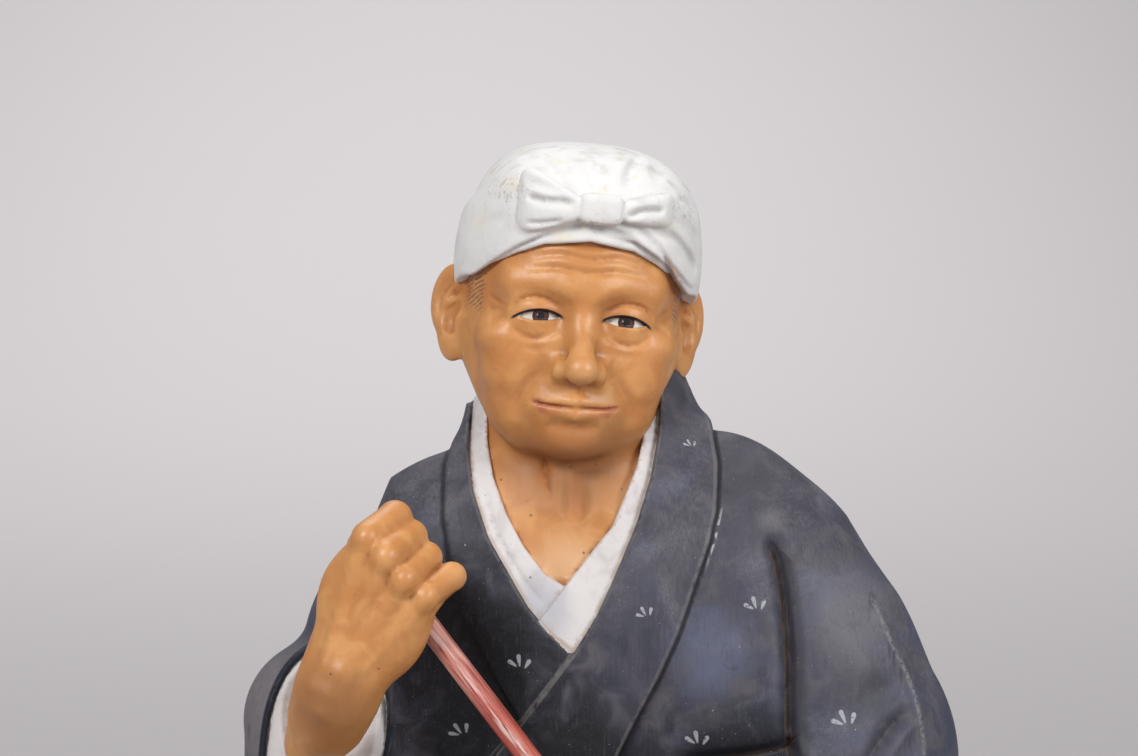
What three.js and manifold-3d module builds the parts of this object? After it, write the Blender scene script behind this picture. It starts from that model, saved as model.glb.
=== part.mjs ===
// A fired clay doll of an elderly figure that kneels and holds a long stick, on a low wooden base.
// Millimetres, +Z up, the front looks along -Y. The origin is the middle of the underside.

import * as THREE from 'three';
import Module from 'manifold-3d';

const wasm = await Module();
wasm.setup();

// Driving sizes.
const FIGURE_HEIGHT = 248;
const BASE_WIDTH = 200;
const BASE_DEPTH = 178;
const BASE_HEIGHT = 15;
const BASE_CORNER = 9;
const BASE_CHAMFER = 2.4;
const STICK_DIAMETER = 4.6;
const STICK_FIT = 0.3;
const STICK_SIDES = 20;
const FIGURE_TRIANGLES = 8900;
const SHORTEST_EDGE = 0.06;

// The figure is drawn 248 units high, from a seat at 15 to the top of the scarf at 263.
const DRAWN_HEIGHT = 248;
const SEAT = 15;
const CUT_BELOW_SEAT = 1;
const UNIT = FIGURE_HEIGHT / DRAWN_HEIGHT;

// Small helpers for points.
const add = (a, b) => [a[0] + b[0], a[1] + b[1], a[2] + b[2]];
const sub = (a, b) => [a[0] - b[0], a[1] - b[1], a[2] - b[2]];
const times = (a, k) => [a[0] * k, a[1] * k, a[2] * k];
const dot = (a, b) => a[0] * b[0] + a[1] * b[1] + a[2] * b[2];
const cross = (a, b) => [a[1] * b[2] - a[2] * b[1], a[2] * b[0] - a[0] * b[2], a[0] * b[1] - a[1] * b[0]];
const size = (a) => Math.hypot(a[0], a[1], a[2]);
const unit = (a) => times(a, 1 / size(a));
const clamp = (v, low, high) => Math.min(high, Math.max(low, v));

// Rounded forms, each given as the distance from a point to its surface, negative inside.
function ellipsoid(p, centre, radii) {
  const x = (p[0] - centre[0]) / radii[0];
  const y = (p[1] - centre[1]) / radii[1];
  const z = (p[2] - centre[2]) / radii[2];
  const k0 = Math.sqrt(x * x + y * y + z * z);
  const k1 = Math.sqrt((x / radii[0]) ** 2 + (y / radii[1]) ** 2 + (z / radii[2]) ** 2);
  return k0 * (k0 - 1) / Math.max(k1, 1e-6);
}

// An ellipsoid when n is 2, squarer as n grows.
function block(p, centre, radii, n) {
  const x = Math.abs(p[0] - centre[0]) / radii[0];
  const y = Math.abs(p[1] - centre[1]) / radii[1];
  const z = Math.abs(p[2] - centre[2]) / radii[2];
  const f = Math.max(x ** n + y ** n + z ** n, 1e-9) ** (1 / n);
  const slope = Math.hypot(x ** (n - 1) / radii[0], y ** (n - 1) / radii[1], z ** (n - 1) / radii[2]);
  return (f - 1) / Math.max(slope / Math.max(f, 1e-3) ** (n - 1), 1e-3);
}

function limb(p, a, b, startRadius, endRadius) {
  const ax = b[0] - a[0];
  const ay = b[1] - a[1];
  const az = b[2] - a[2];
  const x = p[0] - a[0];
  const y = p[1] - a[1];
  const z = p[2] - a[2];
  const t = clamp((x * ax + y * ay + z * az) / (ax * ax + ay * ay + az * az), 0, 1);
  return Math.hypot(x - ax * t, y - ay * t, z - az * t) - (startRadius + (endRadius - startRadius) * t);
}

function brick(p, centre, half, corner) {
  const x = Math.abs(p[0] - centre[0]) - half[0] + corner;
  const y = Math.abs(p[1] - centre[1]) - half[1] + corner;
  const z = Math.abs(p[2] - centre[2]) - half[2] + corner;
  const outside = Math.hypot(Math.max(x, 0), Math.max(y, 0), Math.max(z, 0));
  return outside + Math.min(Math.max(x, y, z), 0) - corner;
}

// Joining and cutting forms with a soft edge k wide.
function join(a, b, k) {
  const h = Math.max(k - Math.abs(a - b), 0) / k;
  return Math.min(a, b) - h * h * k * 0.25;
}

function trim(a, b, k) {
  return -join(-a, -b, k);
}

function ease(t) {
  const c = clamp(t, 0, 1);
  return c * c * (3 - 2 * c);
}

// A value that runs straight between rows of [place, value].
function between(v, rows) {
  if (v <= rows[0][0]) return rows[0][1];
  for (let i = 1; i < rows.length; i += 1) {
    if (v <= rows[i][0]) {
      const t = (v - rows[i - 1][0]) / (rows[i][0] - rows[i - 1][0]);
      return rows[i - 1][1] + (rows[i][1] - rows[i - 1][1]) * t;
    }
  }
  return rows[rows.length - 1][1];
}

// A groove along a line seen from the front, fading out at both ends. A negative depth is a ridge.
function groove(x, z, line, width, depth) {
  let total = 0;
  for (let i = 1; i < line.length; i += 1) {
    total += Math.hypot(line[i][0] - line[i - 1][0], line[i][1] - line[i - 1][1]);
  }
  let best = 1e9;
  let along = 0;
  let run = 0;
  for (let i = 1; i < line.length; i += 1) {
    const sx = line[i][0] - line[i - 1][0];
    const sz = line[i][1] - line[i - 1][1];
    const long = Math.hypot(sx, sz);
    const t = clamp(((x - line[i - 1][0]) * sx + (z - line[i - 1][1]) * sz) / (long * long), 0, 1);
    const away = Math.hypot(x - line[i - 1][0] - sx * t, z - line[i - 1][1] - sz * t);
    if (away < best) {
      best = away;
      along = (run + t * long) / total;
    }
    run += long;
  }
  if (best > width * 3) return 0;
  return depth * (1 - (2 * along - 1) ** 4) * Math.exp(-((best / width) ** 2));
}

// A frame of three axes at a point, and a point seen from it.
function frameFrom(origin, side, up, out) {
  return { origin, side, up, out };
}

function seenFrom(frame, p) {
  const v = sub(p, frame.origin);
  return [dot(v, frame.side), dot(v, frame.up), dot(v, frame.out)];
}

function turnedFrame(origin, yaw, roll, pitch) {
  const turn = new THREE.Matrix4().makeRotationZ(THREE.MathUtils.degToRad(yaw));
  turn.multiply(new THREE.Matrix4().makeRotationY(THREE.MathUtils.degToRad(roll)));
  turn.multiply(new THREE.Matrix4().makeRotationX(THREE.MathUtils.degToRad(pitch)));
  const axes = [new THREE.Vector3(), new THREE.Vector3(), new THREE.Vector3()];
  turn.extractBasis(axes[0], axes[1], axes[2]);
  return frameFrom(origin, axes[0].toArray(), axes[1].toArray(), axes[2].toArray());
}

// A frame whose out axis is given, with its up axis as near as can be to another direction.
function facingFrame(origin, facing, upward) {
  const out = unit(facing);
  const up = unit(sub(upward, times(out, dot(upward, out))));
  return frameFrom(origin, cross(up, out), up, out);
}

// The head, turned and bent a little.
const HEAD = turnedFrame([0.6, 16, 228], 6, 5, 3);
const EYE_OUT = 8.6;
const EYE_UP = 1.5;
const EYE_HALF_WIDTH = 4.5;
const EAR_TURN = 46;
const EAR_SIZE = 0.95;
const EAR_ROOT = [21.4, 2, -1.6];

function eyeOpening(s, z) {
  const t = clamp((s - EYE_OUT) / EYE_HALF_WIDTH, -1.4, 1.4);
  const middle = EYE_UP - 0.3 - 0.18 * t;
  const arch = 1 - t * t;
  return Math.max(z - middle - 1.35 * arch, middle - 0.75 * arch - z);
}

function face(p) {
  const [x, y, z] = p;
  const s = Math.abs(x);
  const m = [s, y, z];
  // Skull, cheek block, jaw and chin.
  let d = ellipsoid(m, [0, 5, 9.5], [22.4, 27, 22.5]);
  d = join(d, ellipsoid(m, [0, -3, -4], [20.3, 18.3, 19]), 6);
  d = join(d, limb(m, [17.5, 3, -6], [7.5, -10.5, -21.5], 5, 5.6), 7);
  d = join(d, ellipsoid(m, [0, -6, -14.5], [15.5, 15, 11]), 6);
  d = join(d, ellipsoid(m, [0, -16.4, -22.6], [6.6, 5.3, 4.6]), 4);
  if (d > 14) return d - 3;
  // Brow ridge, cheekbone and eye socket.
  d = join(d, limb(m, [3.4, -18.6, 7], [13.4, -15.2, 7.4], 2.6, 3), 4);
  d = join(d, ellipsoid(m, [13.6, -12.2, -4], [6.6, 6.4, 4.6]), 4);
  d = trim(d, -ellipsoid(m, [8.9, -22.8, 2.2], [6.2, 4.6, 3.9]), 3);
  // Mouth mound, cheek pouch and jowl.
  d = join(d, ellipsoid(m, [0, -15.4, -15.8], [9.2, 7.7, 6.2]), 2.6);
  d = join(d, ellipsoid(m, [12.2, -12.4, -10], [6.4, 6.9, 8]), 1.8);
  d = join(d, ellipsoid(m, [11, -10.8, -18.2], [5.2, 5.6, 4.8]), 2.6);
  // Nose.
  let nose = limb(m, [0, -18.3, 4], [0, -25.2, -7.2], 1.9, 2.6);
  nose = join(nose, ellipsoid(m, [0, -25.6, -8.3], [3.3, 3.2, 2.8]), 2);
  nose = join(nose, ellipsoid(m, [3.7, -21.9, -9], [2.4, 3.3, 2.4]), 1.2);
  nose = trim(nose, -ellipsoid(m, [1.8, -24, -11.2], [1, 1.9, 1.2]), 0.7);
  d = join(d, nose, 2.4);
  d = trim(d, -limb(m, [5.9, -22.6, -6.6], [6.5, -22.2, -10.4], 0.5, 0.6), 1.4);
  // Lids round the eyeball, with the opening cut through them.
  const ball = ellipsoid(m, [EYE_OUT, -13.7, EYE_UP], [5.7, 5.7, 5.7]);
  d = join(d, ellipsoid(m, [EYE_OUT, -13.7, EYE_UP + 0.3], [6.7, 6.65, 6.1]), 1.8);
  d = trim(d, -Math.max(eyeOpening(s, z), y + 8, -ball), 0.3);
  d = Math.min(d, ball);
  // Lips.
  let lips = limb(m, [0.8, -22.7, -14.9], [6.2, -19.9, -16], 1, 0.4);
  lips = join(lips, limb(m, [0, -22, -17.6], [5, -20.1, -17.1], 1.45, 0.5), 0.4);
  d = join(d, lips, 1.2);
  d = trim(d, -limb(m, [0, -23.6, -16.25], [7.4, -19.9, -16.5], 0.3, 0.3), 0.5);
  return d + faceLines(x, s, z) * ease((-y - 3) / 6);
}

// Lines of age: beside and under the mouth, round the eyes and over the brow.
function faceLines(x, s, z) {
  let g = groove(s, z, [[5.2, -8.2], [7.6, -11], [9.3, -14.6], [9.7, -18.6]], 0.85, 0.75);
  g += groove(s, z, [[7.2, -16.2], [8.4, -18.6], [8.2, -21.2]], 0.8, 0.4);
  g += groove(s, z, [[0, -20.2], [4.6, -19.8]], 1.3, 0.45);
  g += groove(s, z, [[4.2, 3.4], [8, 5.2], [12.4, 4.2], [14.4, 1.6]], 0.5, 0.5);
  g += groove(s, z, [[4.6, -1.2], [8.4, -3.3], [12.4, -2.6], [14.6, -0.4]], 0.7, 0.5);
  for (let k = 0; k < 3; k += 1) {
    const h = 11.2 + 2.7 * k;
    g += groove(x, z, [[-12 + k, h - 0.7], [-6, h + 0.35], [0, h - 0.25], [6, h + 0.35], [12 - k, h - 0.7]], 0.62, 0.42);
  }
  return g;
}

function ear(p) {
  const m = [Math.abs(p[0]), p[1], p[2]];
  const turn = THREE.MathUtils.degToRad(EAR_TURN);
  const out = [Math.cos(turn), Math.sin(turn), 0];
  const lean = [0.06, 0.16, 1];
  const up = unit(sub(lean, times(out, dot(lean, out))));
  const face = cross(up, out);
  const v = times(sub(m, EAR_ROOT), 1 / EAR_SIZE);
  const q = [dot(v, out), dot(v, up), dot(v, face)];
  let d = join(ellipsoid(q, [4.2, 2, 0], [5.6, 7.9, 2.1]), ellipsoid(q, [2.4, -6.2, 0.1], [3.4, 3.8, 1.8]), 2.5);
  if (d > 4) return d * EAR_SIZE;
  d = trim(d, -ellipsoid(q, [3.7, 3.2, 2.5], [4.3, 6.2, 2.3]), 0.8);
  d = trim(d, -ellipsoid(q, [2.2, -1, 1.9], [2.6, 3.6, 2.1]), 0.7);
  d = join(d, limb(q, [5.6, -3.4, 0.5], [5.4, 2.4, 0.6], 0.7, 0.8), 0.7);
  return join(d, ellipsoid(q, [0.2, -1.6, 1.2], [1.2, 1.9, 1.1]), 0.8) * EAR_SIZE;
}

function neck(p) {
  const [x, y, z] = p;
  let d = limb(p, [0.5, 21, 214], [0.5, 21, 188], 13.4, 14.6);
  for (const side of [-1, 1]) {
    d = join(d, limb(p, [0.5 + side * 9.5, 12, 210], [0.3 + side * 2.8, 5.6, 190], 2.4, 1.8), 2.2);
    d = join(d, limb(p, [0.5 + side * 2.4, 7.8, 206], [0.2 + side * 1.6, 6.4, 193], 1.9, 1.5), 1.2);
  }
  const sides = Math.max(between(z, SKIN_LEFT) - 1 - x, x - between(z, SKIN_RIGHT) - 1);
  const chest = Math.max(trunk(p) + 2.4, z - 200, 160 - z, sides, y - 30);
  d = join(d, chest, 7);
  return trim(d, -ellipsoid(p, [0.2, -1, 187.8], [2.8, 3, 2.6]), 2.6);
}

function head(p) {
  const q = seenFrom(HEAD, p);
  return join(join(face(q), ear(q), 1.2), neck(p), 3);
}

// The head scarf: a crown, a broad band round it, the strip at the brow and a flat bow.
const BOW_LOOPS = [
  { side: -1, centre: [-8.6, -20.4, 25], half: [6.3, 2.6, 5.6], tilt: -6 },
  { side: 1, centre: [10.2, -20.2, 23.9], half: [6, 2.7, 4.8], tilt: 8 },
];

function bow(q) {
  let d = block(q, [0.5, -23.2, 24], [4, 2.2, 3.2], 3.4);
  for (const loop of BOW_LOOPS) {
    const tilt = THREE.MathUtils.degToRad(loop.tilt);
    const v = sub(q, loop.centre);
    const l = [v[0] * Math.cos(tilt) + v[2] * Math.sin(tilt), v[1], v[2] * Math.cos(tilt) - v[0] * Math.sin(tilt)];
    const pinch = 0.55 + 0.45 * ease((loop.side * l[0] + loop.half[0]) / (1.1 * loop.half[0]));
    const flat = [l[0], l[1] + 0.02 * l[0] * l[0], l[2] / pinch];
    d = join(d, block(flat, [0, 0, 0], loop.half, 3.2) * 0.8, 0.6);
  }
  return d;
}

function scarf(p) {
  const q = seenFrom(HEAD, p);
  const [x, y, z] = q;
  const back = ease((y + 6) / 26);
  const hem = between(Math.abs(x), [[0, 17], [9, 15.6], [14, 13.2], [18.5, 10.2], [22, 7], [30, 5]]) - 6.5 * back;
  const crown = trim(block(q, [1.4, 5, 13], [23.6, 27, 22.1], 2.7), hem + 2 - z, 1);
  const rows = [[-26, 21.5], [-18, 24.5], [-8, 24], [0, 20], [8, 22], [16, 24], [26, 24]];
  const top = between(x, rows) - 3 * back;
  const rise = between(Math.abs(x), [[0, 4.6], [8, 3.2], [16, 1.2], [21, 0]]) * ease((-y - 2) / 8);
  const band = trim(ellipsoid(q, [0.7, 5.2, 10.5], [25.4, 29.2, 31]), Math.max(z - top, hem + rise - z), 3);
  const strip = trim(ellipsoid(q, [0, 5, 10.5], [23.9, 27.9, 30]), Math.max(z - hem - 8, hem - z), 1.2);
  let d = join(join(crown, band, 1.2), strip, 0.8);
  d = join(d, bow(q), 0.9);
  return d + scarfFolds(x, z) * ease((-y - 6) / 6);
}

function scarfFolds(x, z) {
  let g = groove(x, z, [[-14.5, 22], [-9, 23.6], [-3.4, 23.4]], 0.7, 0.8);
  g += groove(x, z, [[4.4, 22.4], [9, 24.4], [14.6, 24]], 0.7, 0.9);
  g += groove(x, z, [[3.8, 19.8], [10, 21.2], [16, 18.4], [21, 13]], 0.8, 0.7);
  g += groove(x, z, [[15.8, 22.4], [20, 19.6], [22.6, 14]], 0.9, 0.8);
  g += groove(x, z, [[10, 19], [15.6, 15.6], [19.5, 10.5]], 0.8, 0.7);
  g += groove(x, z, [[-14, 20], [-19, 17.4], [-23, 15]], 1.1, 0.5);
  return g;
}

// Edges of the collars seen from the front, as [height, place across].
const DARK_RIGHT = [[161.5, 0.8], [169.3, 5.6], [178.8, 9.9], [187, 13.4], [196.2, 16.4], [204.8, 18.1], [220, 18.8]];
const DARK_LEFT = [[161.5, 0.8], [171, -8.3], [178.4, -12.6], [184.4, -16.1], [193.1, -19.2], [201.8, -20.5], [220, -20]];
const SKIN_RIGHT = [[174.4, -0.6], [179.7, 4.7], [185.3, 8.2], [192.2, 11.2], [198.3, 13.8], [209.6, 16.2], [220, 16.6]];
const SKIN_LEFT = [[174.4, -0.6], [177, -4.8], [182.7, -9.2], [188.8, -12.6], [195.7, -15.3], [202.7, -16.6], [220, -17]];
const SEAM_RIGHT = [[130, 5], [140.8, 10], [156.8, 18], [165.4, 21.8], [174.5, 25], [183.6, 28.2], [190, 29.8], [198.6, 30.3],
  [206, 29.3], [220, 25]];
const SEAM_LEFT = [[146.8, -9.4], [158.2, -16], [172, -22.8], [188, -25.2], [198, -25.2], [204, -23.5], [220, -23]];
const LAP_EDGE = [[120, -34], [132, -22], [145, -11.5], [161.5, 0.8]];
const COLLAR_POINT = 161.5;
const SKIN_POINT = 174.4;
const NECK_MIDDLE = 22;

// Arms and shoulders are drawn deeper than they are, so that round limbs come out flattened front to back.
const SHOULDER_FLATNESS = 1.7;

function shoulders(p) {
  const q = [p[0], (p[1] - 18) * SHOULDER_FLATNESS, p[2]];
  let d = limb(q, [22, 0, 164.5], [37, -3, 150], 41, 37.5);
  d = join(d, limb(q, [37, -3, 150], [52, -6, 130], 37.5, 31), 2);
  d = join(d, limb(q, [-12, 0, 165.5], [-25, 0, 160.5], 36, 31.5), 3);
  d = join(d, limb(q, [-25, 0, 160.5], [-37, 0, 151], 31.5, 18), 2);
  return d / 1.25;
}

function torso(p) {
  const d = join(ellipsoid(p, [2, 36, 82], [44, 34, 50]), ellipsoid(p, [3, 22, 148], [42, 26, 46]), 20);
  return join(d, ellipsoid(p, [2, 34, 172], [30, 17, 30]), 10);
}

function trunk(p) {
  const d = join(torso(p), shoulders(p), 4);
  return join(d, limb(p, [0.8, 26, 192], [0.9, 26, 217], 25.8, 19.6), 7);
}

function rim(x, y) {
  return 214.2 + 0.16 * x - 0.016 * Math.max(y - 20, 0) ** 2;
}

// The mouth of the right sleeve, which has slid down the raised arm, and the cuff of the left one.
const MOUTH = facingFrame([-48.2, -4, 146], [0.16, -0.84, 0.52], [0.22, 0, 0.975]);
const MOUTH_HALF = [12.6, 21.5];
const CUFF = facingFrame([41, -27.5, 123.5], [-0.5, -0.85, 0.12], [0.05, 0, 1]);
const CUFF_HALF = [10, 14.5];

function rightSleeve(p) {
  let d = limb(p, [-50, 12, 145.5], [-46, 14, 114], 16.6, 18.5);
  d = join(d, limb(p, [-49, 6, 132], [-50, -10, 118], 14, 12), 8);
  return join(d, ellipsoid(p, [-48, 2, 96], [17, 20, 34]), 10);
}

function leftSleeve(p) {
  let d = limb(p, [50, 14, 131], [55, 6, 122], 19.5, 19.5);
  d = join(d, limb(p, [56, 8, 122], [40, -24, 122], 18.5, 15), 10);
  return join(d, ellipsoid(p, [45, -6, 103], [20, 17, 30]), 10);
}

function mouthFunnel(q) {
  return (Math.hypot(q[0] / MOUTH_HALF[0], (q[1] + 0.5) / MOUTH_HALF[1]) - 1 - 0.012 * q[2]) * MOUTH_HALF[0];
}

function cuffFunnel(q) {
  return (Math.hypot(q[0] / CUFF_HALF[0], (q[1] + 3.5) / CUFF_HALF[1]) - 1) * CUFF_HALF[0];
}

function lap(p) {
  let d = brick(p, [1, -3, 29], [58, 70, 14], 13);
  for (const side of [-1, 1]) {
    d = join(d, limb(p, [side * 20, 34, 50], [side * 27, -54, 40], 34, 23), 12);
  }
  return d;
}

function collarBands(p, t) {
  const [x, y, z] = p;
  const left = Math.max(between(z, SEAM_LEFT) - x, x - between(z, DARK_LEFT), y - 26, 146 - z);
  const edge = z > COLLAR_POINT ? between(z, DARK_RIGHT) : between(z, LAP_EDGE);
  const right = Math.max(edge - x, x - between(z, SEAM_RIGHT), y - 26, 128 - z);
  return Math.min(trim(t - 1.3, left, 0.6), trim(t - 2.2, right, 0.6));
}

function neckWell(x, y, z, halfWidth, halfDepth) {
  return Math.max((Math.hypot(x / halfWidth, (y - NECK_MIDDLE) / halfDepth) - 1) * halfWidth, 190 - z);
}

function robe(p) {
  const [x, y, z] = p;
  const t = trunk(p);
  const cuff = seenFrom(CUFF, p);
  const mouth = seenFrom(MOUTH, p);
  let d = join(t, trim(leftSleeve(p), cuff[2], 0.8), 5);
  d = trim(d, -Math.max(cuffFunnel(cuff), -cuff[2] - 10), 0.5);
  d = join(d, trim(rightSleeve(p), mouth[2], 0.8), 4);
  d = trim(d, -Math.max(mouthFunnel(mouth), -mouth[2] - 12), 0.5);
  d = join(d, lap(p), 10);
  // The left front laps over the right one down the skirt.
  if (y < -20 && x > -50) {
    d = Math.min(d, trim(d - 1, Math.max(x - 9 - 0.1 * (95 - z), z - 96), 1));
  }
  d += robeFolds(x, z) * ease((10 - y) / 8);
  d = Math.min(d, collarBands(p, t));
  const opening = Math.max(between(z, DARK_LEFT) - x, x - between(z, DARK_RIGHT), COLLAR_POINT - z, y - NECK_MIDDLE);
  d = trim(d, -Math.max(opening, -t - 12), 0.5);
  d = trim(d, -neckWell(x, y, z, 19.2, 19.5), 0.5);
  return Math.max(trim(d, z - rim(x, y), 1.5), SEAT - CUT_BELOW_SEAT - z);
}

// The deep fold at the left armpit, the turn under it and the folds at the elbow.
function robeFolds(x, z) {
  let g = groove(x, z, [[40.5, 184], [42.5, 172], [44, 158], [44.4, 146], [42.5, 141.5]], 1.6, 4.2);
  g += groove(x, z, [[44, 143.5], [38, 139.5], [27, 137.5]], 2.2, 3);
  g += groove(x, z, [[67.2, 154], [60, 146], [52, 139]], 1.5, 1.6);
  g += groove(x, z, [[71.5, 162], [73.5, 150], [74.5, 138]], 1.6, 0.9);
  return g;
}

function underCollar(p) {
  const [x, y, z] = p;
  const t = trunk(p);
  const front = Math.max(between(z, DARK_LEFT) - 2 - x, x - between(z, DARK_RIGHT) - 2, 159 - z, y - NECK_MIDDLE);
  const ring = Math.max((Math.hypot(x / 21.2, (y - NECK_MIDDLE) / 21.5) - 1) * 21, 192 - z, 12 - y);
  const reach = Math.min(front, ring);
  let d = Math.max(t + 0.25, -t - 14, reach);
  const skin = Math.max(between(z, SKIN_LEFT) - x, x - between(z, SKIN_RIGHT), SKIN_POINT - z, y - NECK_MIDDLE);
  d = trim(d, -skin, 0.5);
  d = trim(d, -neckWell(x, y, z, 16.9, 17.2), 0.5);
  return trim(d, z - rim(x, y) - 0.6, 1);
}

function mouthLining(p) {
  const q = seenFrom(MOUTH, p);
  const funnel = mouthFunnel(q);
  const d = Math.max(rightSleeve(p) + 1.2, funnel - 3, Math.abs(q[2] + 6.5) - 6.2);
  return trim(d, -(funnel + 1.3 - 0.42 * Math.min(q[2] + 0.5, 0)), 0.6);
}

function cuffLining(p) {
  const q = seenFrom(CUFF, p);
  const funnel = cuffFunnel(q);
  const d = Math.max(leftSleeve(p) + 1.2, funnel - 3, Math.abs(q[2] + 5.5) - 5);
  return trim(d, -(funnel + 1.3 - 0.42 * Math.min(q[2] + 0.5, 0)), 0.6);
}

function sash(p) {
  const level = Math.abs(p[2] - 104 + 0.1 * (p[1] - 20)) - 10.5;
  return join(trim(torso(p) - 2, level, 1.2), block(p, [2, 66, 112], [17, 6.5, 12], 3.6), 1.5);
}

function socks(p) {
  let d = 1e3;
  for (const side of [-1, 1]) {
    const sole = ellipsoid(p, [side * 11, 62, 22.5], [8.6, 22, 8.6]);
    d = Math.min(d, join(sole, ellipsoid(p, [side * 9.5, 75, 20.5], [8.2, 8, 6.5]), 3));
  }
  return Math.max(d, SEAT - CUT_BELOW_SEAT - p[2]);
}

// The line of the stick, from inside the right fist down to the base.
const STICK_TOP = [-39.3, -17, 184.5];
const STICK_FOOT = [94, -59, SEAT];
const STICK_RUN = unit(sub(STICK_FOOT, STICK_TOP));

// A closed fist in its own frame: side from the wrist to the knuckles, up to the little finger, out of its back.
const HAND_SIZE = 0.94;
const PALM_ROUND_STICK = 3.8;
const FINGERS = [
  { knuckle: [30.4, -7, -0.8], joint: [36.2, -3.2, -10.4], tip: [28.6, -4.8, -17.4], end: [23.2, -5.6, -13.2], radius: 3.6 },
  { knuckle: [28.8, -1.8, 0.8], joint: [33.8, 1.2, -11.2], tip: [26.6, -0.2, -18.2], end: [21.4, -1, -13.6], radius: 3.6 },
  { knuckle: [25.8, 3.4, 0.2], joint: [31.2, 6, -11], tip: [24.2, 4.4, -17.6], end: [19.6, 3.4, -13], radius: 3.4 },
  { knuckle: [24.2, 8.8, -2], joint: [30.2, 12.6, -9.8], tip: [23.2, 10, -15.2], end: [18.6, 7.8, -11.4], radius: 3 },
];

function fist(q) {
  let d = ellipsoid(q, [12.5, 1, -3.6], [16.5, 9.8, 6]);
  d = join(d, ellipsoid(q, [7.5, 5, -5.5], [11, 5.6, 5.6]), 4);
  d = join(d, limb(q, [2, 0.6, -2.4], [-10, -0.6, -4], 7.2, 7.4), 5);
  FINGERS.forEach((finger, i) => {
    const r = finger.radius;
    d = join(d, limb(q, [4, (i - 1.5) * 2.4, -0.8], finger.knuckle, 1.9, r * 0.72), 2.4);
    let f = limb(q, finger.knuckle, finger.joint, r, r * 0.94);
    f = join(f, limb(q, finger.joint, finger.tip, r * 0.94, r * 0.82), 0.8);
    f = join(f, limb(q, finger.tip, finger.end, r * 0.82, r * 0.7), 0.8);
    d = join(d, f, 1);
  });
  let thumb = limb(q, [3, -3.4, -5], [15, -7.4, -10], 4.6, 4);
  thumb = join(thumb, limb(q, [15, -7.4, -10], [25, -7.6, -18], 3.9, 3.5), 1.5);
  thumb = join(thumb, limb(q, [25, -7.6, -18], [27.5, -1, -21], 3.4, 2.7), 1);
  return join(d, thumb, 2);
}

const RIGHT_WRIST = [-46.2, -28, 158];
const RIGHT_ELBOW = [-57, 8, 134];
const RIGHT_ALONG = unit([0.4, -0.1, 0.91]);
const RIGHT_ACROSS = [0.92, -0.12, -0.39];
const RIGHT_LITTLE = unit(sub(RIGHT_ACROSS, times(RIGHT_ALONG, dot(RIGHT_ACROSS, RIGHT_ALONG))));
const RIGHT_HAND = frameFrom(RIGHT_WRIST, RIGHT_ALONG, RIGHT_LITTLE, cross(RIGHT_LITTLE, RIGHT_ALONG));

// The closed palm round the stick, between two places along it.
function closedPalm(p, from, to) {
  const a = add(STICK_TOP, times(STICK_RUN, from));
  const b = add(STICK_TOP, times(STICK_RUN, to));
  return limb(p, a, b, PALM_ROUND_STICK, PALM_ROUND_STICK);
}

function rightHand(p) {
  let d = fist(times(seenFrom(RIGHT_HAND, p), 1 / HAND_SIZE)) * HAND_SIZE;
  d = join(d, closedPalm(p, 0.6, 16.5), 1.2);
  return join(d, limb(p, [-46.8, -26.5, 154], RIGHT_ELBOW, 6.8, 8), 3);
}

const LEFT_GRIP = add(STICK_TOP, times(STICK_RUN, 88));
const LEFT_ELBOW = [57, 10, 121];
const LEFT_ALONG = unit([-0.85, -0.42, -0.25]);
const LEFT_LITTLE = unit(sub(STICK_RUN, times(LEFT_ALONG, dot(STICK_RUN, LEFT_ALONG))));
const LEFT_BACK = cross(LEFT_ALONG, LEFT_LITTLE);
const PALM = add(add(times(LEFT_ALONG, 24.5), LEFT_LITTLE), times(LEFT_BACK, -10.5));
const LEFT_WRIST = sub(LEFT_GRIP, times(PALM, HAND_SIZE));
const LEFT_HAND = frameFrom(LEFT_WRIST, LEFT_ALONG, LEFT_LITTLE, LEFT_BACK);

function leftHand(p) {
  let d = fist(times(seenFrom(LEFT_HAND, p), 1 / HAND_SIZE)) * HAND_SIZE;
  d = join(d, closedPalm(p, 80, 97), 1.2);
  return join(d, limb(p, LEFT_WRIST, LEFT_ELBOW, 7, 8.5), 3);
}

// The forms, the box each is worked out in and the size of the steps.
const FORMS = [
  { form: robe, low: [-76, -90, 10], high: [90, 80, 224], step: 1.9 },
  { form: underCollar, low: [-26, -14, 154], high: [26, 52, 222], step: 1.1 },
  { form: mouthLining, low: [-66, -32, 112], high: [-28, 22, 178], step: 1.1 },
  { form: cuffLining, low: [24, -52, 92], high: [66, 2, 150], step: 1.2 },
  { form: sash, low: [-52, -20, 86], high: [60, 80, 128], step: 1.7 },
  { form: socks, low: [-24, 34, 10], high: [24, 88, 36], step: 1.4 },
  { form: head, low: [-34, -16, 156], high: [34, 54, 264], step: 0.95 },
  { form: scarf, low: [-34, -18, 220], high: [36, 54, 268], step: 1.1 },
  { form: rightHand, low: [-70, -50, 120], high: [-14, 22, 206], step: 1.05 },
  { form: leftHand, low: [-8, -62, 92], high: [72, 24, 142], step: 1.2 },
];

// Samples a form on a grid. Blocks of the grid that lie far from the surface keep the value at their middle.
const BLOCK = 6;

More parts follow.
